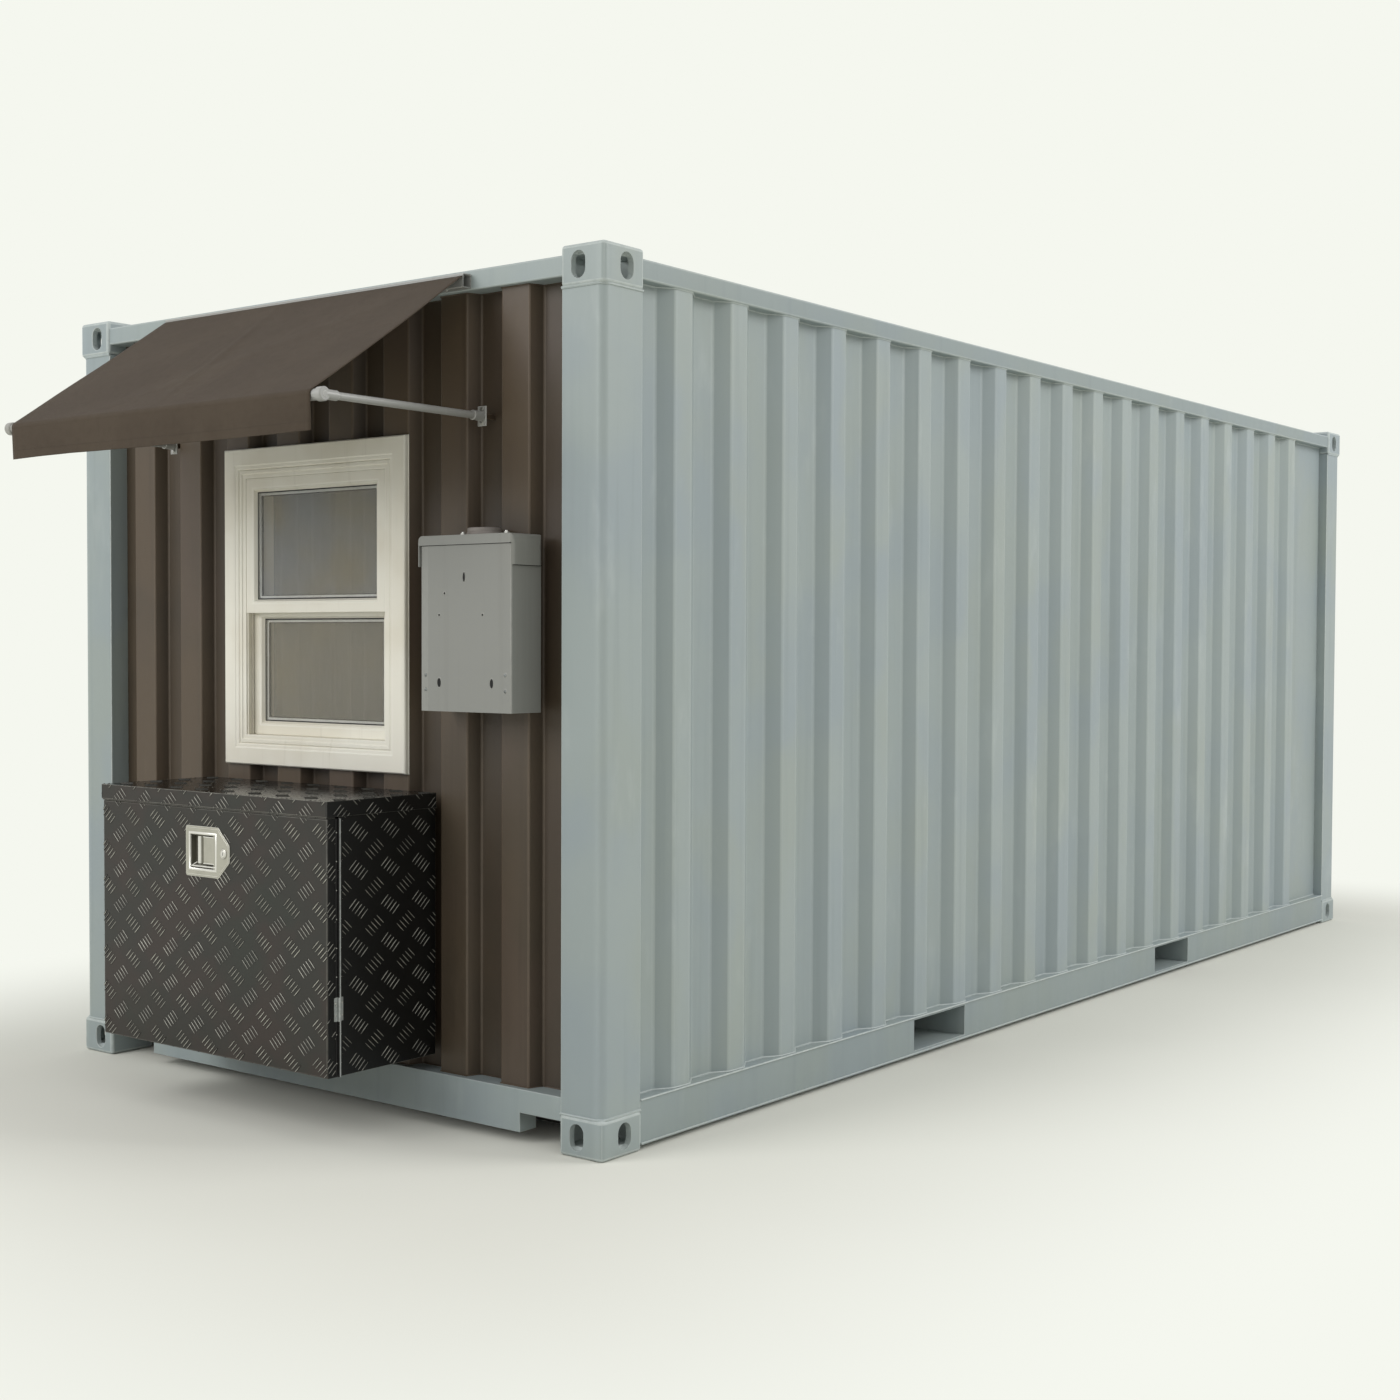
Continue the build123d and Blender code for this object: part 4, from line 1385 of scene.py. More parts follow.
@dataclass
class Walls:
    """The corrugated side walls, front wall and roof, with the welds along their edges."""

    side_bend: float = 0.007
    front_bend: float = 0.005
    roof_bend: float = 0.004
    weld: float = 0.0036
    side_folds: Corrugation = Corrugation(
        first=0.342, pitch=0.278, count=19, outer=0.078, slope=0.054, depth=0.036
    )
    front_folds: Corrugation = Corrugation(
        first=-0.949, pitch=0.250, count=8, outer=0.110, slope=0.018, depth=0.0456
    )

    def sides(self) -> None:
        """Gives the side walls their bends and welds."""
        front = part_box("castings_front_right")[0].y
        for side in Side:
            name = side.name.lower()
            node = f"side_wall_{name}"
            low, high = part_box(node)
            # Painted shade: the sloping flanks of the corrugation are marked darker; the bends are marked
            # slightly lighter, partly wear and partly painted highlight.
            shape = Shape.copy_of(node).mark_wear_and_light(-0.45, where=lambda face: 0.2 < abs(face.normal.y) < 0.9)
            shape.soften(self.side_bend, 2, 0.5, (20, 60), wear_and_painted_light=0.12)
            shape.piece(f"{node}_pressed", CONTAINER, node)
            skin = self.side_folds.skin(low.y, high.y, front)
            outer = high.x if side is Side.RIGHT else low.x
            welds = Shape()
            for z in (low.z + self.weld * 0.5, high.z):
                welds.add(Shape.bead([(outer - side.value * depth, y, z) for y, depth in skin], self.weld))
            # Painted highlight: the welds are marked lighter.
            welds.mark_wear_and_light(0.8).piece(f"{node}_welds", CONTAINER)

    def front(self) -> None:
        """Gives the front wall its bends and welds."""
        low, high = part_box("front_wall")
        # The bends are marked lighter, partly wear and partly painted highlight.
        wall = Shape.copy_of("front_wall").soften(self.front_bend, 3, 0.3, (40, 80), wear_and_painted_light=0.5)
        wall.piece("front_wall_pressed", FRONT_BROWN, "front_wall")
        skin = self.front_folds.skin(low.x, high.x)
        welds = Shape()
        for z in (low.z, high.z):
            welds.add(Shape.bead([(x, low.y + depth, z) for x, depth in skin], self.weld))
        # Painted highlight: the welds are marked a little lighter.
        welds.mark_wear_and_light(0.3).piece("front_wall_welds", FRONT_BROWN)

    def roof(self) -> None:
        """Gives the roof sheet its bends."""
        # The bends are marked lighter, partly wear and partly painted highlight.
        roof = Shape.copy_of("roof_panel").soften(self.roof_bend, 2, 0.5, (30, 75), wear_and_painted_light=0.5)
        roof.piece("roof_pressed", CONTAINER, "roof_panel")

    def build(self) -> None:
        """Builds all three."""
        self.sides()
        self.front()
        self.roof()


@dataclass
class Base:
    """The floor and what lies under it."""

    def build(self) -> None:
        """Dresses the CAD's own floor, joists and fork pockets."""
        for node, finish in (
            ("floor", PLYWOOD), ("floor_joists", UNDERFRAME_DARK),
            ("fork_pockets", CONTAINER_GREY),
        ):
            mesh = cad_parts[node].data
            mesh.materials.clear()
            mesh.materials.append(material_of(finish))
            log.info("%s keeps its CAD shape", node)


@dataclass
class CargoEnd:
    """The closed cargo doors with seals, locking bars, handles and hinges."""

    seal_gap: float = 0.0045
    cam: float = 0.034
    cam_tall: float = 0.030
    sleeve: float = 0.075
    rod_out: float = 0.022
    rods: tuple[float, float] = (0.165, 0.870)
    guides: tuple[float, ...] = (0.214, 0.850, 1.770, 2.406)
    handles: tuple[tuple[float, float, int], ...] = ((0.165, 1.095, 1), (0.870, 1.235, -1))
    handle_reach: float = 0.255
    catch_half: float = 0.02
    blades: int = 4
    blade_inset: float = 0.035
    blade_bolts: tuple[float, ...] = (0.925, 0.965, 1.005)
    pin: tuple[float, float] = (1.0465, 0.0115)
    pin_half: float = 0.041

    def leaves(self) -> None:
        """Rounds both leaves and frames them with rubber."""
        for side in Side:
            node = f"cargo_door_{side.name.lower()}"
            low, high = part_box(node)
            leaf = Shape.copy_of(node).soften(0.005, 2, 0.2, (20, 120), wear_and_painted_light=0.6)
            leaf.piece(f"{node}_pressed", CONTAINER, node)
            profile = [
                (-self.seal_gap, high.y - 0.030), (0.004, high.y - 0.030), (0.004, high.y + 0.001),
                (0.010, high.y + 0.0045), (0.002, high.y + 0.006),
                (-self.seal_gap, high.y + 0.002),
            ]
            seal = Shape.moulding((low.x, low.z), (high.x, high.z), profile, 0.0008)
            seal.piece(f"{node}_seal", Coat(RUBBER, "container_paint"))

    def gear(self) -> None:
        """Dresses the locking bars with cams, keepers, bolts and handle catches."""
        low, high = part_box("cargo_lock_rods")
        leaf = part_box("cargo_door_right")[1].y
        rods = Shape.copy_of("cargo_lock_rods").soften(0.002, 2, 0.02, wear_and_painted_light=0.8)
        rods.piece("lock_rods_round", CONTAINER, "cargo_lock_rods")
        y = leaf + self.rod_out
        details, bolts = Shape(), Shape()
        for x in self.rods:
            for z, way in ((low.z, 1), (high.z, -1)):
                top = z + way * self.cam_tall
                near = (x - self.cam, y - 0.016, min(z, top))
                details.add(Shape.block(near, (x + self.cam * 0.4, y + 0.020, max(z, top)), 0.004))
                details.add(Shape.rod((x, y, top), (x, y, z + way * self.sleeve), 0.021, 0.003))
            for z, up, aside in product(self.guides, (-0.018, 0.018), (-0.024, 0.024)):
                bolts.add(hex_bolt((x + aside, y - 0.0172, z + up), (0, 1, 0), 0.0045))
        for x, z, way in self.handles:
            details.add(Shape.rod((x, y - 0.02, z), (x, y + 0.026, z), 0.024, 0.003))
            catch = x + way * self.handle_reach
            foot = (catch - self.catch_half, leaf, z - 0.035)
            right = catch + self.catch_half
            details.add(Shape.block(foot, (right, y + 0.016, z - 0.017), 0.003))
            details.add(Shape.block(foot, (right, leaf + 0.006, z + 0.05), 0.002))
        details.both_sides().piece("lock_gear_details", CONTAINER)
        bolts.both_sides().piece("lock_gear_bolts", Coat(DARK_STEEL, "container_paint"))

    def hinges(self) -> None:
        """Rounds the hinge blades and gives them bolts and pins."""
        low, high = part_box("cargo_hinges")
        blades = Shape.copy_of("cargo_hinges").soften(0.0025, 2, 0.008, wear_and_painted_light=0.8)
        blades.piece("cargo_hinges_round", CONTAINER, "cargo_hinges")
        heads = Shape()
        step = (high.z - low.z - 2 * self.blade_inset) / (self.blades - 1)
        pin_x, pin_y = self.pin[0], low.y + self.pin[1]
        for number in range(self.blades):
            z = low.z + self.blade_inset + number * step
            for x in self.blade_bolts:
                heads.add(hex_bolt((x, low.y + 0.008, z), (0, 1, 0), 0.007))
            ends = (pin_x, pin_y, z - self.pin_half), (pin_x, pin_y, z + self.pin_half)
            heads.add(Shape.rod(*ends, 0.005, 0.001, 16))
        heads.both_sides().piece("cargo_hinge_bolts", Coat(DARK_STEEL, "container_paint"))

    def build(self) -> None:
        """Builds the rear end."""
        self.leaves()
        self.gear()
        self.hinges()


@dataclass
class Window:
    """The double-hung window with its trim, frame, sashes and double glazing."""

    trim: float = 0.070
    stile: float = 0.045
    flat: float = 0.034
    liner: float = 0.028
    pane_in: float = 0.013
    pane_edge: float = 0.042
    pane: float = 0.004

    def casing(self) -> None:
        """The flat trim with an eased edge and a raised inner lip."""
        low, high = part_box("window_trim")
        face, back = low.y, high.y
        profile = [
            (0.0, back), (0.0, face + 0.004), (0.004, face), (self.trim - 0.016, face),
            (self.trim - 0.013, face + 0.003), (self.trim - 0.004, face + 0.004),
            (self.trim, face + 0.008), (self.trim, back),
        ]
        shape = Shape.moulding((low.x, low.z), (high.x, high.z), profile, 0.0012)
        shape.piece("window_casing", WINDOW_WHITE, "window_trim")

    def liner_frame(self) -> None:
        """The frame that lines the wall's hole, with the sashes' tracks."""
        low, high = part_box("window_frame")
        y, deep = low.y, high.y
        profile = [
            (0.0, deep), (0.0, y + 0.003), (0.003, y), (0.012, y), (0.014, y + 0.004),
            (self.liner - 0.004, y + 0.004), (self.liner, y + 0.0055), (self.liner, deep),
        ]
        shape = Shape.moulding((low.x, low.z), (high.x, high.z), profile, 0.0008)
        upper_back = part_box("lower_sash")[0].y
        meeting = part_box("upper_sash")[0].z
        for x, way in ((low.x + self.liner, 1), (high.x - self.liner, -1)):
            for z0, z1, depth in (
                (low.z + self.liner, meeting, y + 0.010),
                (low.z + self.liner, meeting, upper_back - 0.008),
                (meeting + 0.027, high.z - self.liner, upper_back + 0.010),
            ):
                near, far = sorted((x, x + way * 0.005))
                shape.add(Shape.block((near, depth, z0), (far, depth + 0.005, z1), 0.001))
        shape.piece("window_liner", WINDOW_WHITE, "window_frame")

    def sash(self, node: str) -> None:
        """One sash with bevelled glazing beads.

        Args:
            node: the CAD sash.
        """
        low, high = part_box(node)
        y, deep = low.y, high.y
        profile = [
            (0.0, deep), (0.0, y + 0.002), (0.002, y), (self.flat - 0.004, y),
            (self.flat - 0.002, y + 0.0015), (self.flat, y + 0.0015), (self.flat, deep),
        ]
        shape = Shape().add(Shape.moulding((low.x, low.z), (high.x, high.z), profile, 0.0008))
        reach = self.stile - self.flat
        bead = [
            (0.0, deep), (0.0, y + 0.0015), (reach * 0.35, y + 0.0015),
            (reach, y + self.pane_in - 0.0005), (reach, deep),
        ]
        near = (low.x + self.flat, low.z + self.flat)
        far = (high.x - self.flat, high.z - self.flat)
        shape.add(Shape.moulding(near, far, bead, 0.0006))
        shape.piece(f"{node}_beaded", WINDOW_WHITE, node)

    def glazing(self) -> None:
        """Both panes of each sash with their spacer and gaskets."""
        panes, spacers, gaskets = Shape(), Shape(), Shape()
        for node in ("upper_sash", "lower_sash"):
            low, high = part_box(node)
            y = low.y + self.pane_in
            x0, x1 = low.x + self.pane_edge, high.x - self.pane_edge
            z0, z1 = low.z + self.pane_edge, high.z - self.pane_edge
            panes.add(Shape.block((x0, y, z0), (x1, y + self.pane, z1)))
            panes.add(Shape.block((x0, y + 0.012, z0), (x1, y + 0.0155, z1)))
            spacer = [(0.0, y + 0.0043), (0.0145, y + 0.0043), (0.0145, y + 0.0117), (0.0, y + 0.0117)]
            lip = [(0.0, y - 0.0008), (0.0060, y - 0.0008), (0.0068, y - 0.0001), (0.0, y - 0.0001)]
            seal = [(0.0140, y + 0.0042), (0.0170, y + 0.0042), (0.0170, y + 0.0118), (0.0140, y + 0.0118)]
            spacers.add(Shape.moulding((x0, z0), (x1, z1), spacer, 0.0006))
            gaskets.add(Shape.moulding((x0, z0), (x1, z1), lip, 0.0002))
            gaskets.add(Shape.moulding((x0, z0), (x1, z1), seal, 0.0002))
        panes.piece("window_panes", Coat(GLASS, "window_pane"), "window_glass")
        spacers.piece("pane_spacers", Coat(SPACER_GREY, "window_white"))
        gaskets.piece("pane_gaskets", Coat(RUBBER, "window_white"))

    def fittings(self) -> None:
        """The lock on the meeting rail and the two lifts at the foot of the lower sash."""
        low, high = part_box("lower_sash")
        mid, back, z = (low.x + high.x) / 2, high.y, high.z
        lock = Shape.block((mid - 0.032, back - 0.026, z), (mid + 0.032, back - 0.004, z + 0.008), 0.002)
        lock.add(Shape.rod((mid, back - 0.015, z + 0.008), (mid, back - 0.015, z + 0.016), 0.009, 0.002))
        lever = (mid - 0.005, back - 0.020, z + 0.012), (mid + 0.034, back - 0.010, z + 0.018)
        lock.add(Shape.block(*lever, 0.002))
        for x in (low.x + 0.12, high.x - 0.12):
            lift = (x - 0.03, back - 0.002, low.z + 0.008), (x + 0.03, back + 0.010, low.z + 0.013)
            lock.add(Shape.block(*lift, 0.0015))
        lock.piece("sash_lock_and_lifts", WINDOW_WHITE)

    def seal(self) -> None:
        """The thin bead of sealant behind the trim."""
        low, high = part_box("window_trim")
        profile = [(-0.002, high.y), (0.002, high.y - 0.0025), (0.004, high.y)]
        sealant = Shape.moulding((low.x, low.z), (high.x, high.z), profile)
        sealant.piece("window_sealant", WINDOW_WHITE)

    def build(self) -> None:
        """Builds the window."""
        self.casing()
        self.liner_frame()
        self.sash("upper_sash")
        self.sash("lower_sash")
        self.glazing()
        self.fittings()
        self.seal()


@dataclass
class Awning:
    """The awning: one sheet of cloth over a front bar, with rail, arms and brackets."""

    bar_radius: float = 0.016
    bar_z: float = 2.136
    cloth: float = 0.0016
    skin: float = 0.0022
    hem: float = 0.026
    sag: float = 0.010
    arm_x: float = 0.726
    arm_radius: float = 0.011
    columns: int = 96
    rows: int = 132
    fold_from: float = 0.55
    fold_to: float = 0.72
    arm_ends: tuple[tuple[float, float, float], ...] = ((0.0, 0.052, 0.0145), (-0.040, 0.0, 0.0150))
    bracket_front: float = -2.69
    bolt_in: float = 0.010
    rail_screws: int = 5
    rail_inset: float = 0.08

    def profile(self) -> tuple[float, float, float, float, float]:
        """The slope's angle, its length, the fold's length, the valance's length and the fold's radius."""
        low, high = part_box("awning_canopy")
        radius = self.bar_radius + self.skin
        bar_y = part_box("awning_front_bar")[0].y + self.bar_radius
        run = high.y - bar_y
        drop = high.z - 0.002 - self.bar_z
        angle = math.atan2(drop, run) - math.asin(radius / math.hypot(run, drop))
        slope = math.sqrt(run * run + drop * drop - radius * radius)
        fold = radius * (math.pi / 2 - angle)
        valance = self.bar_z - low.z
        return angle, slope, fold, valance, radius

    def sheet(self) -> None:
        """Hangs the cloth: a grid that is folded over the bar and then sagged and creased."""
        angle, slope, fold, valance, radius = self.profile()
        low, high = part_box("awning_canopy")
        width = high.x - low.x
        length = slope + fold + valance
        bar_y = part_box("awning_front_bar")[0].y + self.bar_radius
        bm = bmesh.new()
        bmesh.ops.create_grid(bm, x_segments=self.columns, y_segments=self.rows, size=0.5)
        bmesh.ops.recalc_face_normals(bm, faces=bm.faces)
        uv = bm.loops.layers.uv.new("cloth")
        wear_and_painted_light = bm.faces.layers.float.new("wear_and_painted_light")
        spread = {vert: self.spread(vert.co.y + 0.5, slope, fold, length) for vert in bm.verts}
        flat = {vert: ((vert.co.x + 0.5) * width, spread[vert]) for vert in bm.verts}
        for face in bm.faces:
            face[wear_and_painted_light] = 0.0
            for loop in face.loops:
                loop[uv].uv = flat[loop.vert]
        for vert, (across, along) in flat.items():
            x = low.x + across
            share = across / width
            if along <= slope:
                back = slope - along
                normal = Vector((0, -math.sin(angle), math.cos(angle)))
                touch = Vector((x, bar_y, self.bar_z)) + normal * radius
                spot = touch + Vector((0, math.cos(angle), math.sin(angle))) * back
                t = along / slope
                belly = math.sin(math.pi * t) * (0.25 + 0.75 * math.sin(math.pi * share))
                crease = self.creases(across, along, t)
                spot -= normal * (self.sag * belly) - normal * crease
            elif along <= slope + fold:
                turn = angle + (along - slope) / radius
                spot = Vector((x, bar_y - radius * math.sin(turn), self.bar_z + radius * math.cos(turn)))
            else:
                down = along - slope - fold
                t = down / valance
                wave = 0.0035 * t * math.sin(across * 9.3 + 0.8) + 0.0022 * t * math.sin(across * 21 + 2.0)
                drop = 0.0025 * t * math.sin(across * 5.1)
                spot = Vector((x, bar_y - radius + abs(wave) + 0.0005, self.bar_z - down + max(0.0, drop)))
            vert.co = spot
        mesh = bpy.data.meshes.new("awning_cloth")
        bm.to_mesh(mesh)
        bm.free()
        mesh.polygons.foreach_set("use_smooth", [True] * len(mesh.polygons))
        finish = Canvas(
            name="awning_canvas",
            colour=(71, 61, 50),
            faded=(79, 69, 57),
            thread=(56, 48, 39),
            width=width,
            length=length,
            hem=self.hem,
            fold_at=slope + fold,
        )
        mesh.materials.append(material_of(finish))
        made = placed("awning_cloth", mesh)
        thick = made.modifiers.new("thickness", "SOLIDIFY")
        thick.thickness = self.cloth
        thick.offset = 0
        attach(made, Body.CABIN.value)
        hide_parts("awning_canopy")
        log.info("awning_cloth: %.3f x %.3f m of cloth", width, length)

    def spread(self, t: float, slope: float, fold: float, length: float) -> float:
        """Places the cloth's rows, closer together round the bar.

        Args:
            t: 0 at the wall and 1 at the valance's foot.
            slope: the slope's length.
            fold: the fold's length.
            length: the whole length.

        Returns:
            How far along the cloth the row lies.
        """
        if t < self.fold_from:
            return slope * t / self.fold_from
        if t < self.fold_to:
            return slope + fold * (t - self.fold_from) / (self.fold_to - self.fold_from)
        return slope + fold + (length - slope - fold) * (t - self.fold_to) / (1 - self.fold_to)

    def creases(self, across: float, along: float, t: float) -> float:
        """How far soft creases lift the slope.

        Args:
            across: the place across the cloth.
            along: the place down it.
            t: the share of the slope's length.

        Returns:
            The lift in metres.
        """
        lift = noise.noise(Vector((across * 2.3, along * 2.9, 0.4))) * 0.005
        for off, wide, high in (
            (across - 0.591 - 0.105 * t, 0.020, 0.0042),
            (across * 0.62 + along * 0.78 - 0.70, 0.05, -0.0012),
            (across * 0.7 + along - 0.95, 0.04, 0.0018),
        ):
            lift += math.exp(-((off / wide) ** 2)) * high
        return math.sin(math.pi * t) ** 0.7 * lift

    def metal(self) -> None:
        """The rail and the bar, then the arms and wall brackets."""
        rail = Shape.copy_of("awning_head_rail").soften(0.002, 2, 0.2)
        rail.piece("awning_rail", AWNING_GREY, "awning_head_rail")
        low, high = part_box("awning_front_bar")
        mid = (low + high) / 2
        bar = Shape.rod((low.x, mid.y, mid.z), (high.x, mid.y, mid.z), self.bar_radius, 0.002, 32)
        bar.piece("awning_bar", AWNING_GREY, "awning_front_bar")
        for side in Side:
            self.arm(side, mid.y)
        self.brackets()

    def arm(self, side: Side, start: float) -> None:
        """One arm with its knuckle at the bar and its sleeves.

        Args:
            side: which side it is on.
            start: where the bar lies, along y.
        """
        node = f"awning_arm_{side.name.lower()}"
        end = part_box(node)[1].y
        x, z = side.value * self.arm_x, self.bar_z
        knuckle = [(0, -0.013), (0.017, -0.013), (0.020, -0.010), (0.020, 0.010), (0.017, 0.013), (0, 0.013)]
        arm = Shape.turned(knuckle, (x, start, z), (side.value, 0, 0))
        near, far = self.arm_ends
        arm.add(Shape.rod((x, start, z), (x, start + near[1], z), near[2], 0.002))
        arm.add(Shape.rod((x, start + 0.015, z), (x, end - 0.012, z), self.arm_radius))
        arm.add(Shape.rod((x, end + far[0], z), (x, end, z), far[2], 0.002))
        arm.add(Shape.rod((x, start, z), (x + side.value * 0.0145, start, z), 0.009, 0.002, 20))
        arm.piece(f"{node}_round", AWNING_GREY, node)

    def brackets(self) -> None:
        """The wall brackets on their brown spacers, with their bolts and the rail's screws."""
        low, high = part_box("arm_brackets")
        spacer = low.y + 0.006
        brackets = Shape.copy_of("arm_brackets")
        brackets.soften(0.0018, 2, 0.004, where=lambda a, b: a.y < self.bracket_front)
        dressed = brackets.piece("arm_brackets_round", AWNING_GREY, "arm_brackets")
        dressed.data.materials.append(material_of(WALL_BROWN))
        for polygon in dressed.data.polygons:
            if polygon.center.y > spacer:
                polygon.material_index = 1
        bolts = Shape()
        for z in (low.z + self.bolt_in, high.z - self.bolt_in):
            bolts.add(hex_bolt((self.arm_x, low.y, z), OUT, 0.0045))
        bolts.both_sides()
        low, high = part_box("awning_head_rail")
        step = (high.x - low.x - 2 * self.rail_inset) / (self.rail_screws - 1)
        for number in range(self.rail_screws):
            x = low.x + self.rail_inset + number * step
            bolts.add(pan_screw((x, (low.y + high.y) / 2, low.z), (0, 0, -1), 0.005))
        bolts.piece("awning_bolts", Coat(ZINC, "awning_metal"))

    def build(self) -> None:
        """Builds the awning."""
        self.metal()
        self.sheet()


@dataclass
class ServiceBox:
    """The electric service box with its cover, hood, hub and small holes."""

    cover_round: float = 0.004
    hood_round: float = 0.015
    hood_lip: float = 0.028
    hood_sheet: float = 0.003
    hood_front: float = 0.004
    screw_x: tuple[float, float] = (0.704, 0.879)
    knockouts: tuple[tuple[float, float, float, float], ...] = (
        (0.772, 1.657, 0.0085, 0.027), (0.671, 1.350, 0.0145, 0.026),
        (0.882, 1.350, 0.0125, 0.026),
    )
    small_holes: tuple[tuple[float, float], ...] = ((0.693, 1.611), (0.671, 1.548), (0.846, 1.547))
    cover_screws: tuple[tuple[float, float], ...] = (
        (0.615, 1.372), (0.615, 1.329), (0.935, 1.374), (0.935, 1.328),
    )

    def body(self) -> None:
        """The tray, the cover with its bevelled edge, the hood, and black strips of painted shadow under the
        hood's edges.
        """
        low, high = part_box("electric_box")
        tray = Shape.copy_of("electric_box").soften(0.003, 3, 0.05, wear_and_painted_light=0.6)
        tray.piece("service_box_tray", BOX_GREY, "electric_box")
        cover_low, cover_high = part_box("electric_cover")
        front = cover_low.y

        def at_corner(a: Vector, b: Vector) -> bool:
            """Whether an edge is the cover's upright edge at its right front corner."""
            return abs(a.x - cover_high.x) < 0.001 and a.y < front + 0.001 and abs(a.x - b.x) < 0.001

        cover = Shape.copy_of("electric_cover")
        # The cover's right front corner and front edges are marked lighter, partly wear and partly painted
        # highlight.
        cover.soften(self.cover_round, 3, 0.05, where=at_corner)
        cover.soften(0.0012, 2, 0.05, (4, 120), where=lambda a, b: a.y < front + 0.0035, wear_and_painted_light=0.7)
        # Painted light: the cover's bevel faces that turn to the left are marked lighter.
        cover.mark_wear_and_light(0.45, where=lambda face: -0.6 < face.normal.x < -0.04 and face.normal.y < -0.5)
        cover.piece("service_box_cover", BOX_GREY, "electric_cover")
        self.hood()
        foot, top = (corner.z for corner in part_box("electric_hood"))
        # Painted shadow: thin black strips on the cover under the hood's front lip, and beside the tray under
        # the hood's sides.
        shade = Shape.block(
            (cover_low.x + 0.002, front - 0.0030, top - 0.0295), (cover_high.x, front, top - 0.0272), 0.0004
        )
        for x in (high.x, low.x - 0.0060):
            strip = (x, low.y + 0.004, foot - 0.0016), (x + 0.0060, high.y - 0.004, foot + 0.001)
            shade.add(Shape.block(*strip, 0.0004))
        shade.piece("hood_shadow_strips", Coat(SHADE_BLACK, "box_paint"))

    def hood(self) -> None:
        """The rain hood, a bent sheet with rounded shoulders, open below and behind."""
        low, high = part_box("electric_hood")

        def on_shoulder(a: Vector, b: Vector) -> bool:
            """Whether an edge is one of the two upper side edges."""
            return a.z > high.z - 1e-4 and abs(a.x - b.x) < 1e-4

        shape = Shape.block(low, high).soften(self.hood_round, 5, where=on_shoulder).mark_wear_and_light(0.0)
        shape.soften(self.hood_front, 3, where=lambda a, b: max(a.y, b.y) < low.y + 1e-4, wear_and_painted_light=0.7)
        foot = high.z - self.hood_lip
        bm = shape.bm
        whole = [*bm.verts, *bm.edges, *bm.faces]
        bmesh.ops.bisect_plane(bm, geom=whole, plane_co=(0, 0, foot), plane_no=UP)
        doomed = []
        for face in bm.faces:
            mid = face.calc_center_median()
            front = mid.y < low.y + self.hood_front + 0.0001 and mid.z < foot
            if front or mid.y > high.y - 1e-4 or mid.z < low.z + 1e-4:
                doomed.append(face)
        bmesh.ops.delete(bm, geom=doomed, context="FACES")
        bmesh.ops.solidify(bm, geom=bm.faces[:], thickness=self.hood_sheet)
        shape.faced().piece("service_box_hood", BOX_GREY, "electric_hood")

    def hub(self) -> None:
        """The closed round hub with its ring of steps and the screws beside it."""
        low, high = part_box("conduit_hub")
        mid = (low + high) / 2
        wide = (high.x - low.x) / 2
        tall = high.z - low.z
        profile = [
            (0, 0), (wide, 0), (wide, 0.0025), (wide - 0.003, 0.0045), (wide - 0.004, 0.0085),
            (wide - 0.0052, 0.0100), (wide - 0.0048, 0.0165), (wide - 0.0062, tall - 0.0016),
            (wide - 0.010, tall), (wide - 0.016, tall - 0.0015), (0, tall - 0.0015),
        ]
        hub = Shape.turned(profile, (mid.x, mid.y, low.z), UP, 56).mark_wear_and_light(0.15)
        hub.piece("conduit_hub_turned", Coat(HUB_GREY, "box_paint"), "conduit_hub")
        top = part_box("electric_hood")[1].z
        screws = Shape()
        for x in self.screw_x:
            for foot, head, radius, bevel, sides in (
                (0.0, 0.002, 0.011, 0.0005, 20), (0.002, 0.009, 0.0080, 0.0008, 6),
                (0.009, 0.0125, 0.0045, 0.0008, 16),
            ):
                ends = (x, mid.y, top + foot), (x, mid.y, top + head)
                screws.add(Shape.rod(*ends, radius, bevel, sides))
        # Painted highlight: the screw heads are marked light all over.
        screws.mark_wear_and_light(1.0).piece("hood_screws", Coat(BRIGHT_ZINC, "box_paint"))

    def marks(self) -> None:
        """The cover's holes, dimples and screws."""
        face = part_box("electric_cover")[0].y
        holes, rims, screws = Shape(), Shape(), Shape()
        for x, z, wide, tall in self.knockouts:
            oval = Matrix.Translation((x, face, z)) @ Matrix.Diagonal((wide, 1, tall, 1))
            holes.add(Shape.rod((0, -0.0004, 0), (0, 0.001, 0), 0.5, 0.0, 20).moved(oval))
            rims.add(Shape.turned([(0.50, 0.0), (0.55, 0.0012), (0.66, 0.0)], (0, 0, 0), OUT, 24).moved(oval))
        for x, z in self.small_holes:
            rim = [(0.0028, 0.0002), (0.0044, 0.0014), (0.0070, 0.0)]
            rims.add(Shape.turned(rim, (x, face, z), OUT, 20))
            holes.add(Shape.rod((x, face - 0.0004, z), (x, face + 0.001, z), 0.0034, 0.0, 16))
        left = self.cover_screws[0][0]
        for x, z in self.cover_screws:
            base = (x, face + (0.0014 if x == left else 0), z)
            screws.add(pan_screw(base, OUT, 0.0052))
            rims.add(Shape.turned([(0.0045, 0.0), (0.0062, 0.0008), (0.0085, 0.0)], base, OUT, 20))
        # The holes are black discs, painted shade for their depth; the rims round them are marked lighter,
        # partly wear and partly painted highlight.
        holes.piece("cover_holes", Coat(SHADE_BLACK, "box_paint"))
        rims.mark_wear_and_light(0.7).piece("cover_rims", BOX_GREY)
        screws.piece("cover_screws", Coat(DARK_STEEL, "box_paint"))

    def build(self) -> None:
        """Builds the box."""
        self.body()
        self.hub()
        self.marks()


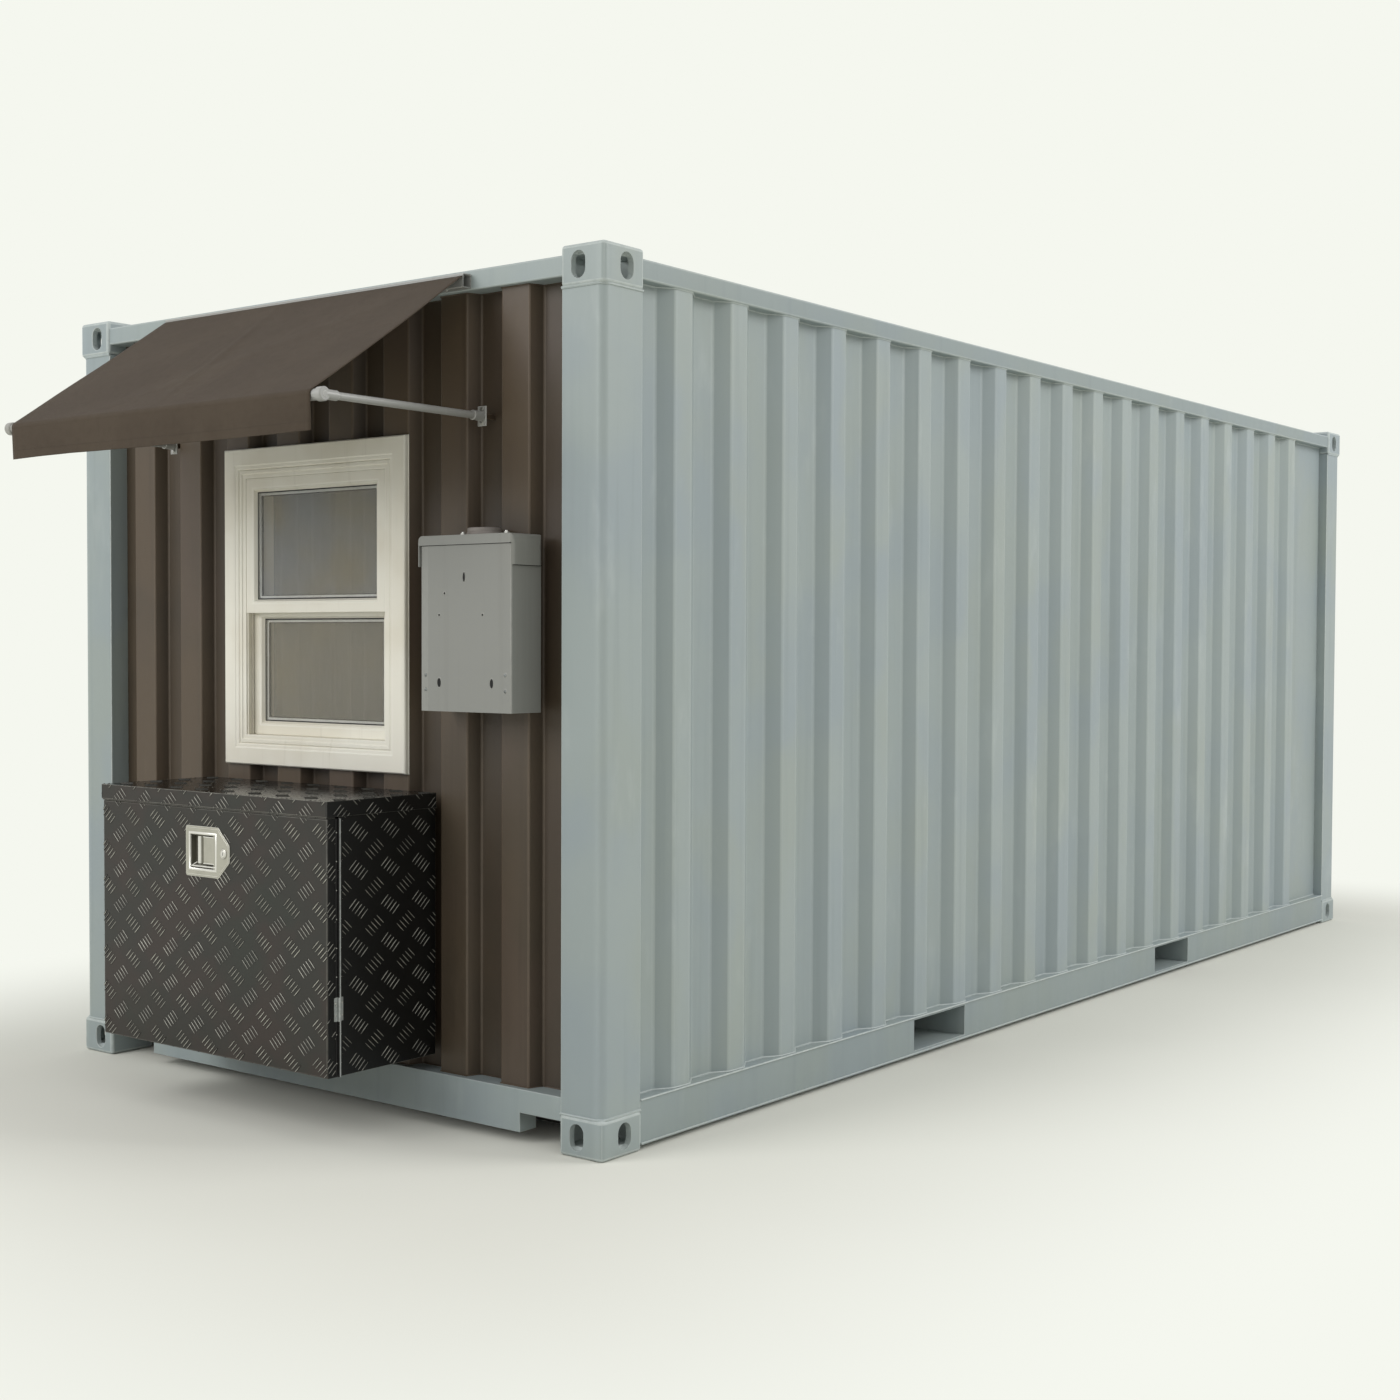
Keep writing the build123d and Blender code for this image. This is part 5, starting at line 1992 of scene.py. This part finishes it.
@dataclass
class TreadBars:
    """The raised pattern of five-bar tread plate."""

    pitch_across: float = 0.1255
    pitch_up: float = 0.1126
    bar_length: float = 0.039
    bar_width: float = 0.0029
    bar_height: float = 0.0013
    rim: float = 0.0026
    sunk: float = 0.0002
    step_across: float = 0.0112
    step_up: float = 0.0084
    lean: float = 47
    bars: int = 5
    sides: int = 8
    edge: float = 0.0008

    def bar(self) -> Shape:
        """One bar, a low lens with sloping sides on a foot marked dark as its painted shadow, flat on the XY
        plane along Y; the lens is marked lighter, partly wear and partly painted highlight.
        """
        shape = Shape()
        made = bmesh.ops.create_circle(shape.bm, cap_ends=True, segments=self.sides, radius=1)["verts"]
        half = self.bar_width / 2 + self.rim
        shape.moved(Matrix.Rotation(math.pi / self.sides, 4, "Z"))
        bmesh.ops.scale(shape.bm, vec=(half, self.bar_length / 2 + self.rim, 1), verts=made)
        bmesh.ops.translate(shape.bm, vec=(0, 0, -self.sunk), verts=made)
        # The foot's two rings are marked as painted shadow, the lens as lighter wear and painted highlight.
        for share, rise, wear_and_painted_light in (
            ((1.0, 1.0), self.sunk + 0.0002, -0.8),
            (((half - self.rim) / half, 0.93), 0.0, -0.8),
            ((0.35, 0.9), self.bar_height, 1.0),
        ):
            top = max(shape.bm.faces, key=lambda face: face.calc_center_median().z)
            before = set(shape.bm.faces)
            drawn = bmesh.ops.extrude_face_region(shape.bm, geom=[top])["geom"]
            verts = [g for g in drawn if isinstance(g, bmesh.types.BMVert)]
            bmesh.ops.scale(shape.bm, vec=(*share, 1), verts=verts)
            bmesh.ops.translate(shape.bm, vec=(0, 0, rise + 1e-6), verts=verts)
            for face in shape.bm.faces:
                if face not in before:
                    face[shape.wear_and_painted_light] = wear_and_painted_light
        return shape.faced()

    def group(self, lean: Lean) -> Shape:
        """Five bars that lean one way, stepped down the other way."""
        places = []
        for number in range(self.bars):
            turns = number - (self.bars - 1) / 2
            spot = (lean.value * self.step_across * turns, -self.step_up * turns, 0)
            turn = Matrix.Rotation(-math.radians(lean.value * self.lean), 4, "Z")
            places.append(Matrix.Translation(spot) @ turn)
        return self.bar().repeated(places)

    def cover(
        self,
        origin: Point,
        across: Point,
        up: Point,
        size: tuple[float, float],
        start: tuple[float, float] = (0.0, 0.0),
        spare: tuple[float, float, float, float] | None = None,
        tone: float = 1.0,
    ) -> Shape:
        """Covers a rectangle of plate with groups of bars, cut off at its edges.

        Args:
            origin: the rectangle's corner.
            across: the way of its width.
            up: the way of its height.
            size: its width and height.
            start: where the first group's middle lies.
            spare: a rectangle to leave bare, as (low across, low up, high across, high up).
            tone: how strongly the bars are marked, lighter by wear and painted highlight and darker by
                painted shadow.

        Returns:
            The bars.
        """
        origin, across, up = Vector(origin), Vector(across).normalized(), Vector(up).normalized()
        base = Matrix.Translation(origin) @ Matrix((across, up, across.cross(up))).transposed().to_4x4()
        made = Shape()
        # Painted light: the groups that lean back are marked more weakly, lighter and darker, than those that
        # lean forward.
        for lean, shift, share in ((Lean.FORWARD, 0.0, 1.0), (Lean.BACK, 0.5, 0.7)):
            columns = range(-1, int(size[0] / self.pitch_across) + 2)
            rows = range(-1, int(size[1] / self.pitch_up) + 2)
            places = []
            for column, row in product(columns, rows):
                x = start[0] + (column + shift) * self.pitch_across
                y = start[1] + (row + shift) * self.pitch_up
                places.append(base @ Matrix.Translation((x, y, 0)))
            group = self.group(lean)
            for face in group.bm.faces:
                face[group.wear_and_painted_light] *= share * tone
            made.add(group.repeated(places))
        if spare:
            self.clear(made, base.inverted(), spare)
        for spot, way in (
            (origin + across * self.edge, -across),
            (origin + across * (size[0] - self.edge), across),
            (origin + up * self.edge, -up),
            (origin + up * (size[1] - self.edge), up),
        ):
            bm = made.bm
            whole = [*bm.verts, *bm.edges, *bm.faces]
            cut = bmesh.ops.bisect_plane(bm, geom=whole, plane_co=spot, plane_no=way, clear_outer=True)
            rims = [g for g in cut["geom_cut"] if isinstance(g, bmesh.types.BMEdge)]
            bmesh.ops.holes_fill(bm, edges=rims)
        return made

    def clear(self, made: Shape, back: Matrix, spare: tuple[float, float, float, float]) -> None:
        """Takes away the bars that reach into a rectangle.

        Args:
            made: the bars.
            back: turns their places into the plate's own.
            spare: the rectangle.
        """
        doomed = []
        seen = set()
        for first in made.bm.verts:
            if first in seen:
                continue
            island = {first}
            queue = [first]
            while queue:
                for edge in queue.pop().link_edges:
                    for vert in edge.verts:
                        if vert not in island:
                            island.add(vert)
                            queue.append(vert)
            seen |= island
            spots = [back @ vert.co for vert in island]
            if any(spare[0] < spot.x < spare[2] and spare[1] < spot.y < spare[3] for spot in spots):
                doomed += island
        bmesh.ops.delete(made.bm, geom=doomed, context="VERTS")


@dataclass
class Toolbox:
    """The tread plate toolbox: body, cap and door with their bars, seal and hinge."""

    edge_round: float = 0.004
    wall_round: float = 0.0011
    hinge_leaf: float = 0.012
    plate_foot: float = 0.155
    plate_head: float = 0.237
    hinge_face: float = 0.5297
    plate_screws: tuple[float, float] = (0.392, 0.428)
    rivets: int = 9
    rivet_inset: float = 0.04
    keep: float = 0.024
    bars: TreadBars = field(default_factory=TreadBars)

    def body(self) -> None:
        """The body's sides with their bars, and the seal round its opening."""
        low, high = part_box("toolbox_body")
        shape = Shape.copy_of("toolbox_body").soften(self.wall_round, 2, 0.1, wear_and_painted_light=0.5)
        deep = high.y - low.y
        tall = high.z - low.z - (high.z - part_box("toolbox_cap")[0].z)
        right = self.bars.cover(
            (high.x, low.y + self.hinge_leaf, low.z),
            (0, 1, 0),
            UP,
            (deep - self.hinge_leaf, tall), (0.063, 0.028),
            (-0.012, self.plate_foot, 0.010, self.plate_head),
        )
        left = self.bars.cover((low.x, high.y, low.z), OUT, UP, (deep, tall), (0.04, 0.028))
        shape.add(right, left)
        shape.piece("toolbox_sides", TREAD, "toolbox_body")
        profile = [(0.003, low.y), (0.018, low.y), (0.016, low.y - 0.0044), (0.005, low.y - 0.0044)]
        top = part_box("toolbox_door")[1].z
        seal = Shape.moulding((low.x, low.z), (high.x, top), profile, 0.001)
        seal.piece("toolbox_seal", Coat(RUBBER, "toolbox_black"))

    def cap(self) -> None:
        """The top plate, the band on its front and sides, and the lip behind the door."""
        low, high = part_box("toolbox_cap")

        def on_front_edge(face: bmesh.types.BMFace) -> bool:
            """Whether a face rounds an edge of the band's front."""
            slant = abs(face.normal.z) > 0.2 and abs(face.normal.y) > 0.2
            return slant and face.calc_center_median().y < low.y + 0.003

        shape = Shape.copy_of("toolbox_cap").soften(self.edge_round * 0.6, 3, 0.03, wear_and_painted_light=0.2)
        # Painted highlight: the rounded front edges of the band are marked lighter.
        shape.mark_wear_and_light(0.45, where=on_front_edge)
        wide, deep, tall = (far - near for near, far in zip(low, high))
        corner = (low.x, low.y, high.z)
        # The bars on top carry only faint painted highlight and shade.
        top = self.bars.cover(corner, (1, 0, 0), (0, 1, 0), (wide, deep), (0.05, 0.06), tone=0.12)
        band = self.bars.cover(low, (1, 0, 0), UP, (wide, tall), (0.030, -0.0484))
        right = self.bars.cover((high.x, low.y, low.z), (0, 1, 0), UP, (deep, tall), (0.062, 0.0040))
        left = self.bars.cover((low.x, high.y, low.z), OUT, UP, (deep, tall), (0.062, 0.0040))
        shape.add(top, band, right, left)
        door_low, door_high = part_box("toolbox_door")
        near = (low.x + 0.004, low.y + 0.0014, door_high.z + 0.0012)
        far = (high.x - 0.004, door_low.y + 0.030, low.z + 0.001)
        shape.add(Shape.block(near, far, 0.0005))
        shape.piece("toolbox_lid_plate", TREAD, "toolbox_cap")

    def door(self) -> None:
        """The door's pan with its bars."""
        low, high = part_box("toolbox_door")
        front = low.y + 0.0006
        shape = Shape.copy_of("toolbox_door")
        shape.soften(self.edge_round, 3, 0.3, where=lambda a, b: max(a.y, b.y) < front, wear_and_painted_light=0.12)
        wide, deep, tall = (far - near for near, far in zip(low, high))
        latch_low, latch_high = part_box("latch_plate")
        spare = (
            latch_low.x - low.x + self.keep - 0.004,
            latch_low.z - low.z + self.keep - 0.001,
            latch_high.x - low.x - 0.064,
            latch_high.z - low.z - self.keep,
        )
        shape.add(self.bars.cover(low, (1, 0, 0), UP, (wide, tall), (0.026, 0.028), spare))
        side = self.bars.cover(
            (high.x, low.y, low.z),
            (0, 1, 0),
            UP,
            (deep - 0.008, tall), (0.020, 0.028), (0.022, self.plate_foot, 0.05, self.plate_head),
        )
        shape.add(side)
        shape.piece("toolbox_door_plate", TREAD, "toolbox_door", body=Body.DOOR)

    def hinge(self) -> None:
        """Both halves of the long hinge with their rivets and the small plate's screws."""
        steel = Coat(HINGE_STEEL, "hinge_steel")
        for node, name, body in (
            ("hinge_fixed_half", "hinge_on_body", Body.CABIN),
            ("hinge_door_half", "hinge_on_door", Body.DOOR),
        ):
            Shape.copy_of(node).soften(0.0004, 1, 0.004).piece(name, steel, node, body=body)
        low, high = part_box("hinge_fixed_half")
        step = (high.z - low.z - 2 * self.rivet_inset) / (self.rivets - 1)
        heads = [(z, 0.0125, 0.003) for z in self.plate_screws]
        heads += [(low.z + self.rivet_inset + number * step, 0.0082, 0.002) for number in range(self.rivets)]
        for name, body, way in (
            ("hinge_rivets_body", Body.CABIN, 1),
            ("hinge_rivets_door", Body.DOOR, -1),
        ):
            screws = Shape()
            for z, aside, radius in heads:
                screws.add(pan_screw((self.hinge_face, HINGE_LINE_Y + way * aside, z), (1, 0, 0), radius))
            screws.piece(name, Coat(ZINC, "hinge_steel"), body=body)

    def build(self) -> None:
        """Builds the toolbox."""
        self.body()
        self.cap()
        self.door()
        self.hinge()


@dataclass
class Latch:
    """The stainless paddle latch with its pressed tray, ridges, paddle and lock."""

    tray_low: tuple[float, float] = (-0.086, 0.778)
    tray_high: tuple[float, float] = (0.032, 0.882)
    outline: tuple[tuple[float, float], ...] = (
        (-0.102, 0.759), (0.0435, 0.759), (0.0920, 0.8065), (0.0920, 0.8535), (0.0435, 0.901),
        (-0.102, 0.901),
    )
    tray_floor: float = -3.107
    pin: tuple[float, float] = (0.023, -3.122)
    collar: float = 0.0155
    curl_end: float = -0.0402
    groove_end: float = -0.0262

    def plate(self) -> None:
        """The plate with a line round its edge, a rolled rim round its tray and a step in the tray, with
        painted highlights on the rim, line, step and ridge and painted shade in the tray.
        """
        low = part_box("latch_plate")[0]
        (x0, z0), (x1, z1) = self.tray_low, self.tray_high
        shape = Shape.copy_of("latch_plate")
        shape.soften(0.0014, 3, 0.001, where=lambda a, b: max(a.y, b.y) < low.y + 0.0003)

        def in_tray(face: bmesh.types.BMFace) -> bool:
            """Whether a face lies in the tray."""
            x, y, z = face.calc_center_median()
            return x0 - 0.001 < x < x1 + 0.001 and z0 - 0.001 < z < z1 + 0.001 and y > low.y + 0.003

        # Painted shade in the tray.
        shape.mark_wear_and_light(-0.8, where=in_tray)
        rim = [
            (-0.0075, low.y + 0.0004), (-0.0062, low.y - 0.0012), (-0.0038, low.y - 0.0024),
            (-0.0014, low.y - 0.0022), (0.0006, low.y - 0.0004), (0.0010, low.y + 0.004),
            (-0.0075, low.y + 0.0012),
        ]
        # Painted highlight on the rolled rim, the edge line, the step and the ridge bead.
        shape.add(Shape.moulding(self.tray_low, self.tray_high, rim, 0.0005).mark_wear_and_light(0.9))
        line = Shape.bead([(x, low.y, z) for x, z in self.outline], 0.0010, 8, closed=True)
        shape.add(line.mark_wear_and_light(0.6))
        floor, left, right = self.tray_floor, x0 + 0.004, x1 - 0.002
        step = Shape.block((left, low.y + 0.0004, z0 + 0.0040), (right, floor, z0 + 0.0088), 0.0018)
        shape.add(step.mark_wear_and_light(0.85))
        # A ledge under the tray's top, marked dark: painted shadow.
        top = Shape.block((left, low.y + 0.0030, z1 - 0.0035), (right, floor, z1 - 0.0005), 0.001)
        shape.add(top.mark_wear_and_light(-0.9))
        path = [(left, low.y + 0.0016, z0 + 0.006), (-0.056, low.y + 0.0026, z0 + 0.019)]
        shape.add(Shape.bead(path, 0.0016, 8).mark_wear_and_light(0.8))
        shape.piece("latch_plate_pressed", LATCH_STEEL, "latch_plate", body=Body.DOOR)

    def paddle(self) -> None:
        """The paddle with its curled finger edge, the groove beside it and its flat."""
        low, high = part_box("latch_paddle")
        z0, z1 = low.z + 0.0150, high.z - 0.0055
        y = low.y
        section = [
            (-0.0550, y + 0.0072), (-0.0540, y + 0.0022), (-0.0510, y + 0.0003), (-0.0465, y),
            (-0.0425, y + 0.0008), (-0.0400, y + 0.0034), (-0.0385, y + 0.0052),
            (-0.0300, y + 0.0052), (-0.0270, y + 0.0024), (-0.0240, y + 0.0012),
            (self.pin[0], y + 0.0008), (self.pin[0], y + 0.0036), (-0.0240, y + 0.0040),
            (-0.0300, y + 0.0078), (-0.0390, y + 0.0078), (-0.0440, y + 0.0040),
            (-0.0510, y + 0.0040), (-0.0520, y + 0.0076),
        ]
        shape = Shape.prism([(x, deep, z0) for x, deep in section], (0, 0, z1 - z0), 0.0005)

        def tone(face: bmesh.types.BMFace) -> float:
            """A painted highlight on the curled edge and painted shade in the groove."""
            x = face.calc_center_median().x
            if x < self.curl_end:
                return 0.75
            return -0.85 if x < self.groove_end else 0.0

        for face in shape.bm.faces:
            face[shape.wear_and_painted_light] = tone(face)
        # Painted highlight along the flat's top and bottom edges.
        for z in (z0 + 0.0012, z1 - 0.0012):
            edge = (-0.0270, y - 0.0004, z - 0.0016), (self.pin[0], y + 0.0030, z + 0.0016)
            shape.add(Shape.block(*edge, 0.0011).mark_wear_and_light(0.8))
        shape.add(Shape.rod((*self.pin, low.z), (*self.pin, high.z), 0.0038, 0.0006, 20))
        shape.piece("latch_paddle_pressed", LATCH_STEEL, "latch_paddle", body=Body.PADDLE)

    def lock(self) -> None:
        """The key cylinder in its collar, with a key slot."""
        low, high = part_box("lock_cylinder")
        mid = (low + high) / 2
        radius = (high.x - low.x) / 2
        length = high.y - low.y
        face = high.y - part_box("latch_plate")[0].y
        profile = [
            (0, 0), (radius, 0), (radius, face - 0.0004), (self.collar, face - 0.0004),
            (self.collar, face + 0.0012), (self.collar - 0.0014, face + 0.0026),
            (radius + 0.0012, face + 0.0030), (radius + 0.0004, face + 0.0016),
            (radius, face + 0.0016), (radius, length - 0.0014), (radius * 0.90, length - 0.0003),
            (radius * 0.72, length), (0, length),
        ]
        shape = Shape.turned(profile, (mid.x, high.y, mid.z), OUT, 40)
        groove = high.y - face - 0.0016
        # Painted highlight on the collar's front and painted shade in its groove.
        shape.mark_wear_and_light(0.7, where=lambda part: part.calc_center_median().y < high.y - face - 0.0002)
        shape.mark_wear_and_light(-0.7, where=lambda part: abs(part.calc_center_median().y - groove) < 0.0003)
        shape.piece("lock_turned", LATCH_STEEL, "lock_cylinder", body=Body.DOOR)
        # The key slot is a thin black block: painted shade for the keyway.
        near = (mid.x - 0.0011, low.y - 0.0002, mid.z - 0.0050)
        slot = Shape.block(near, (mid.x + 0.0011, low.y + 0.001, mid.z + 0.0050), 0.0003)
        slot.piece("key_slot", Coat(RUBBER, "latch_steel"), body=Body.DOOR)

    def build(self) -> None:
        """Builds the latch."""
        self.plate()
        self.paddle()
        self.lock()


@dataclass
class Studio:
    """A pale floor that runs into a white background, soft light and the photograph's camera."""

    eye: tuple[float, float, float] = (4.6433, -6.7665, 1.4702)
    yaw: float = 37.337
    pitch: float = 1.737
    roll: float = -0.232
    focal: float = 48.67
    reach: float = 60.0
    floor_drop: float = 0.0005
    fade: float = 1.9
    floor_colour: Colour = (222, 222, 213)
    floor_patch: Colour = (216, 216, 207)
    background: Colour = (245, 247, 239)
    sky: float = 0.74
    key: float = 450
    fill: float = 300

    def floor(self) -> None:
        """The floor, which keeps the cabin's shadow and fades into the background around it."""
        shape = Shape()
        bmesh.ops.create_grid(shape.bm, x_segments=8, y_segments=8, size=self.reach)
        graph = Graph("studio_floor")
        half = ((cad_high.x - cad_low.x) / 2, (cad_high.y - cad_low.y) / 2)
        off_x = graph.axis(0).size().above(half[0])
        off_y = graph.axis(1).size().above(half[1])
        off = graph.maths("SQRT", off_x * off_x + off_y * off_y)
        cloud = graph.noise(graph.spot(), 0.5, 3, 0.5)
        colour = graph.mix(cloud.step(0.3, 0.7) * 0.6, self.floor_colour, self.floor_patch)
        matt = graph.node("ShaderNodeBsdfDiffuse", {}, {"Color": colour, "Roughness": 0.5})
        ray = graph.node("ShaderNodeLightPath", out="Is Camera Ray")
        gloss = graph.node("ShaderNodeLightPath", out="Is Glossy Ray")
        glow = graph.node("ShaderNodeEmission", {}, {"Color": linear(self.background), "Strength": 1.0})
        away = off.step(0.0, self.fade) * graph.maths("MAXIMUM", ray, gloss)
        blend = graph.node("ShaderNodeMixShader", {}, {0: away, 1: matt, 2: glow})
        graph.end(blend)
        mesh = bpy.data.meshes.new("studio_floor")
        shape.bm.to_mesh(mesh)
        shape.bm.free()
        mesh.materials.append(graph.owner)
        made = placed("studio_floor", mesh)
        made.location.z = -self.floor_drop

    def lamp(self, name: str, place: Point, target: Point, size: float, power: float) -> None:
        """A square area lamp.

        Args:
            name: the lamp's name.
            place: where it stands.
            target: what it points at.
            size: its width.
            power: its power in watts.
        """
        data = bpy.data.lights.new(name, "AREA")
        data.shape = "SQUARE"
        data.size = size
        data.energy = power
        made = placed(name, data)
        made.location = place
        made.rotation_euler = (Vector(target) - Vector(place)).to_track_quat("-Z", "Y").to_euler()

    def lights(self) -> None:
        """A white world and two large soft lamps."""
        graph = Graph("studio", world=True)
        soft = graph.node("ShaderNodeBackground", {}, {"Color": (1.0, 1.0, 1.0, 1.0), "Strength": self.sky})
        plain = graph.node("ShaderNodeBackground", {}, {"Color": linear(self.background)})
        ray = graph.node("ShaderNodeLightPath", out="Is Camera Ray")
        through = graph.node("ShaderNodeLightPath", out="Is Transmission Ray")
        seen = graph.maths("MAXIMUM", ray, through)
        blend = graph.node("ShaderNodeMixShader", {}, {0: seen, 1: soft, 2: plain})
        bpy.context.scene.world = graph.end(blend)
        self.lamp("key_soft", (9.0, 3.5, 7.0), (0.8, 0.3, 1.2), 5.0, self.key)
        self.lamp("fill_front", (-2.5, -9.8, 5.2), (0, -2.6, 1.2), 5.0, self.fill)

    def camera(self) -> None:
        """The photograph's camera."""
        data = bpy.data.cameras.new("photo_camera")
        data.sensor_width = 36
        data.lens = self.focal
        data.clip_end = 300
        made = placed("photo_camera", data)
        made.location = self.eye
        made.rotation_euler = [math.radians(angle) for angle in (90 - self.pitch, self.roll, self.yaw)]
        bpy.context.scene.camera = made

    def build(self) -> None:
        """Builds the studio."""
        self.camera()
        self.floor()
        self.lights()
        bpy.context.scene.view_settings.view_transform = "Standard"


def write_sizes() -> None:
    """Brings the view layer up to date."""
    bpy.context.view_layer.update()


def main() -> None:
    """Builds the cabin and the studio in order."""
    logging.basicConfig(level=logging.INFO, format="%(name)s: %(message)s")
    for kind in (Studio, Shell, Walls, Base, CargoEnd, Window, Awning, ServiceBox, Toolbox, Latch):
        part = kind()
        part.build()
        log.info("%s built", type(part).__name__)
    write_sizes()


if __name__ == "__main__":
    main()
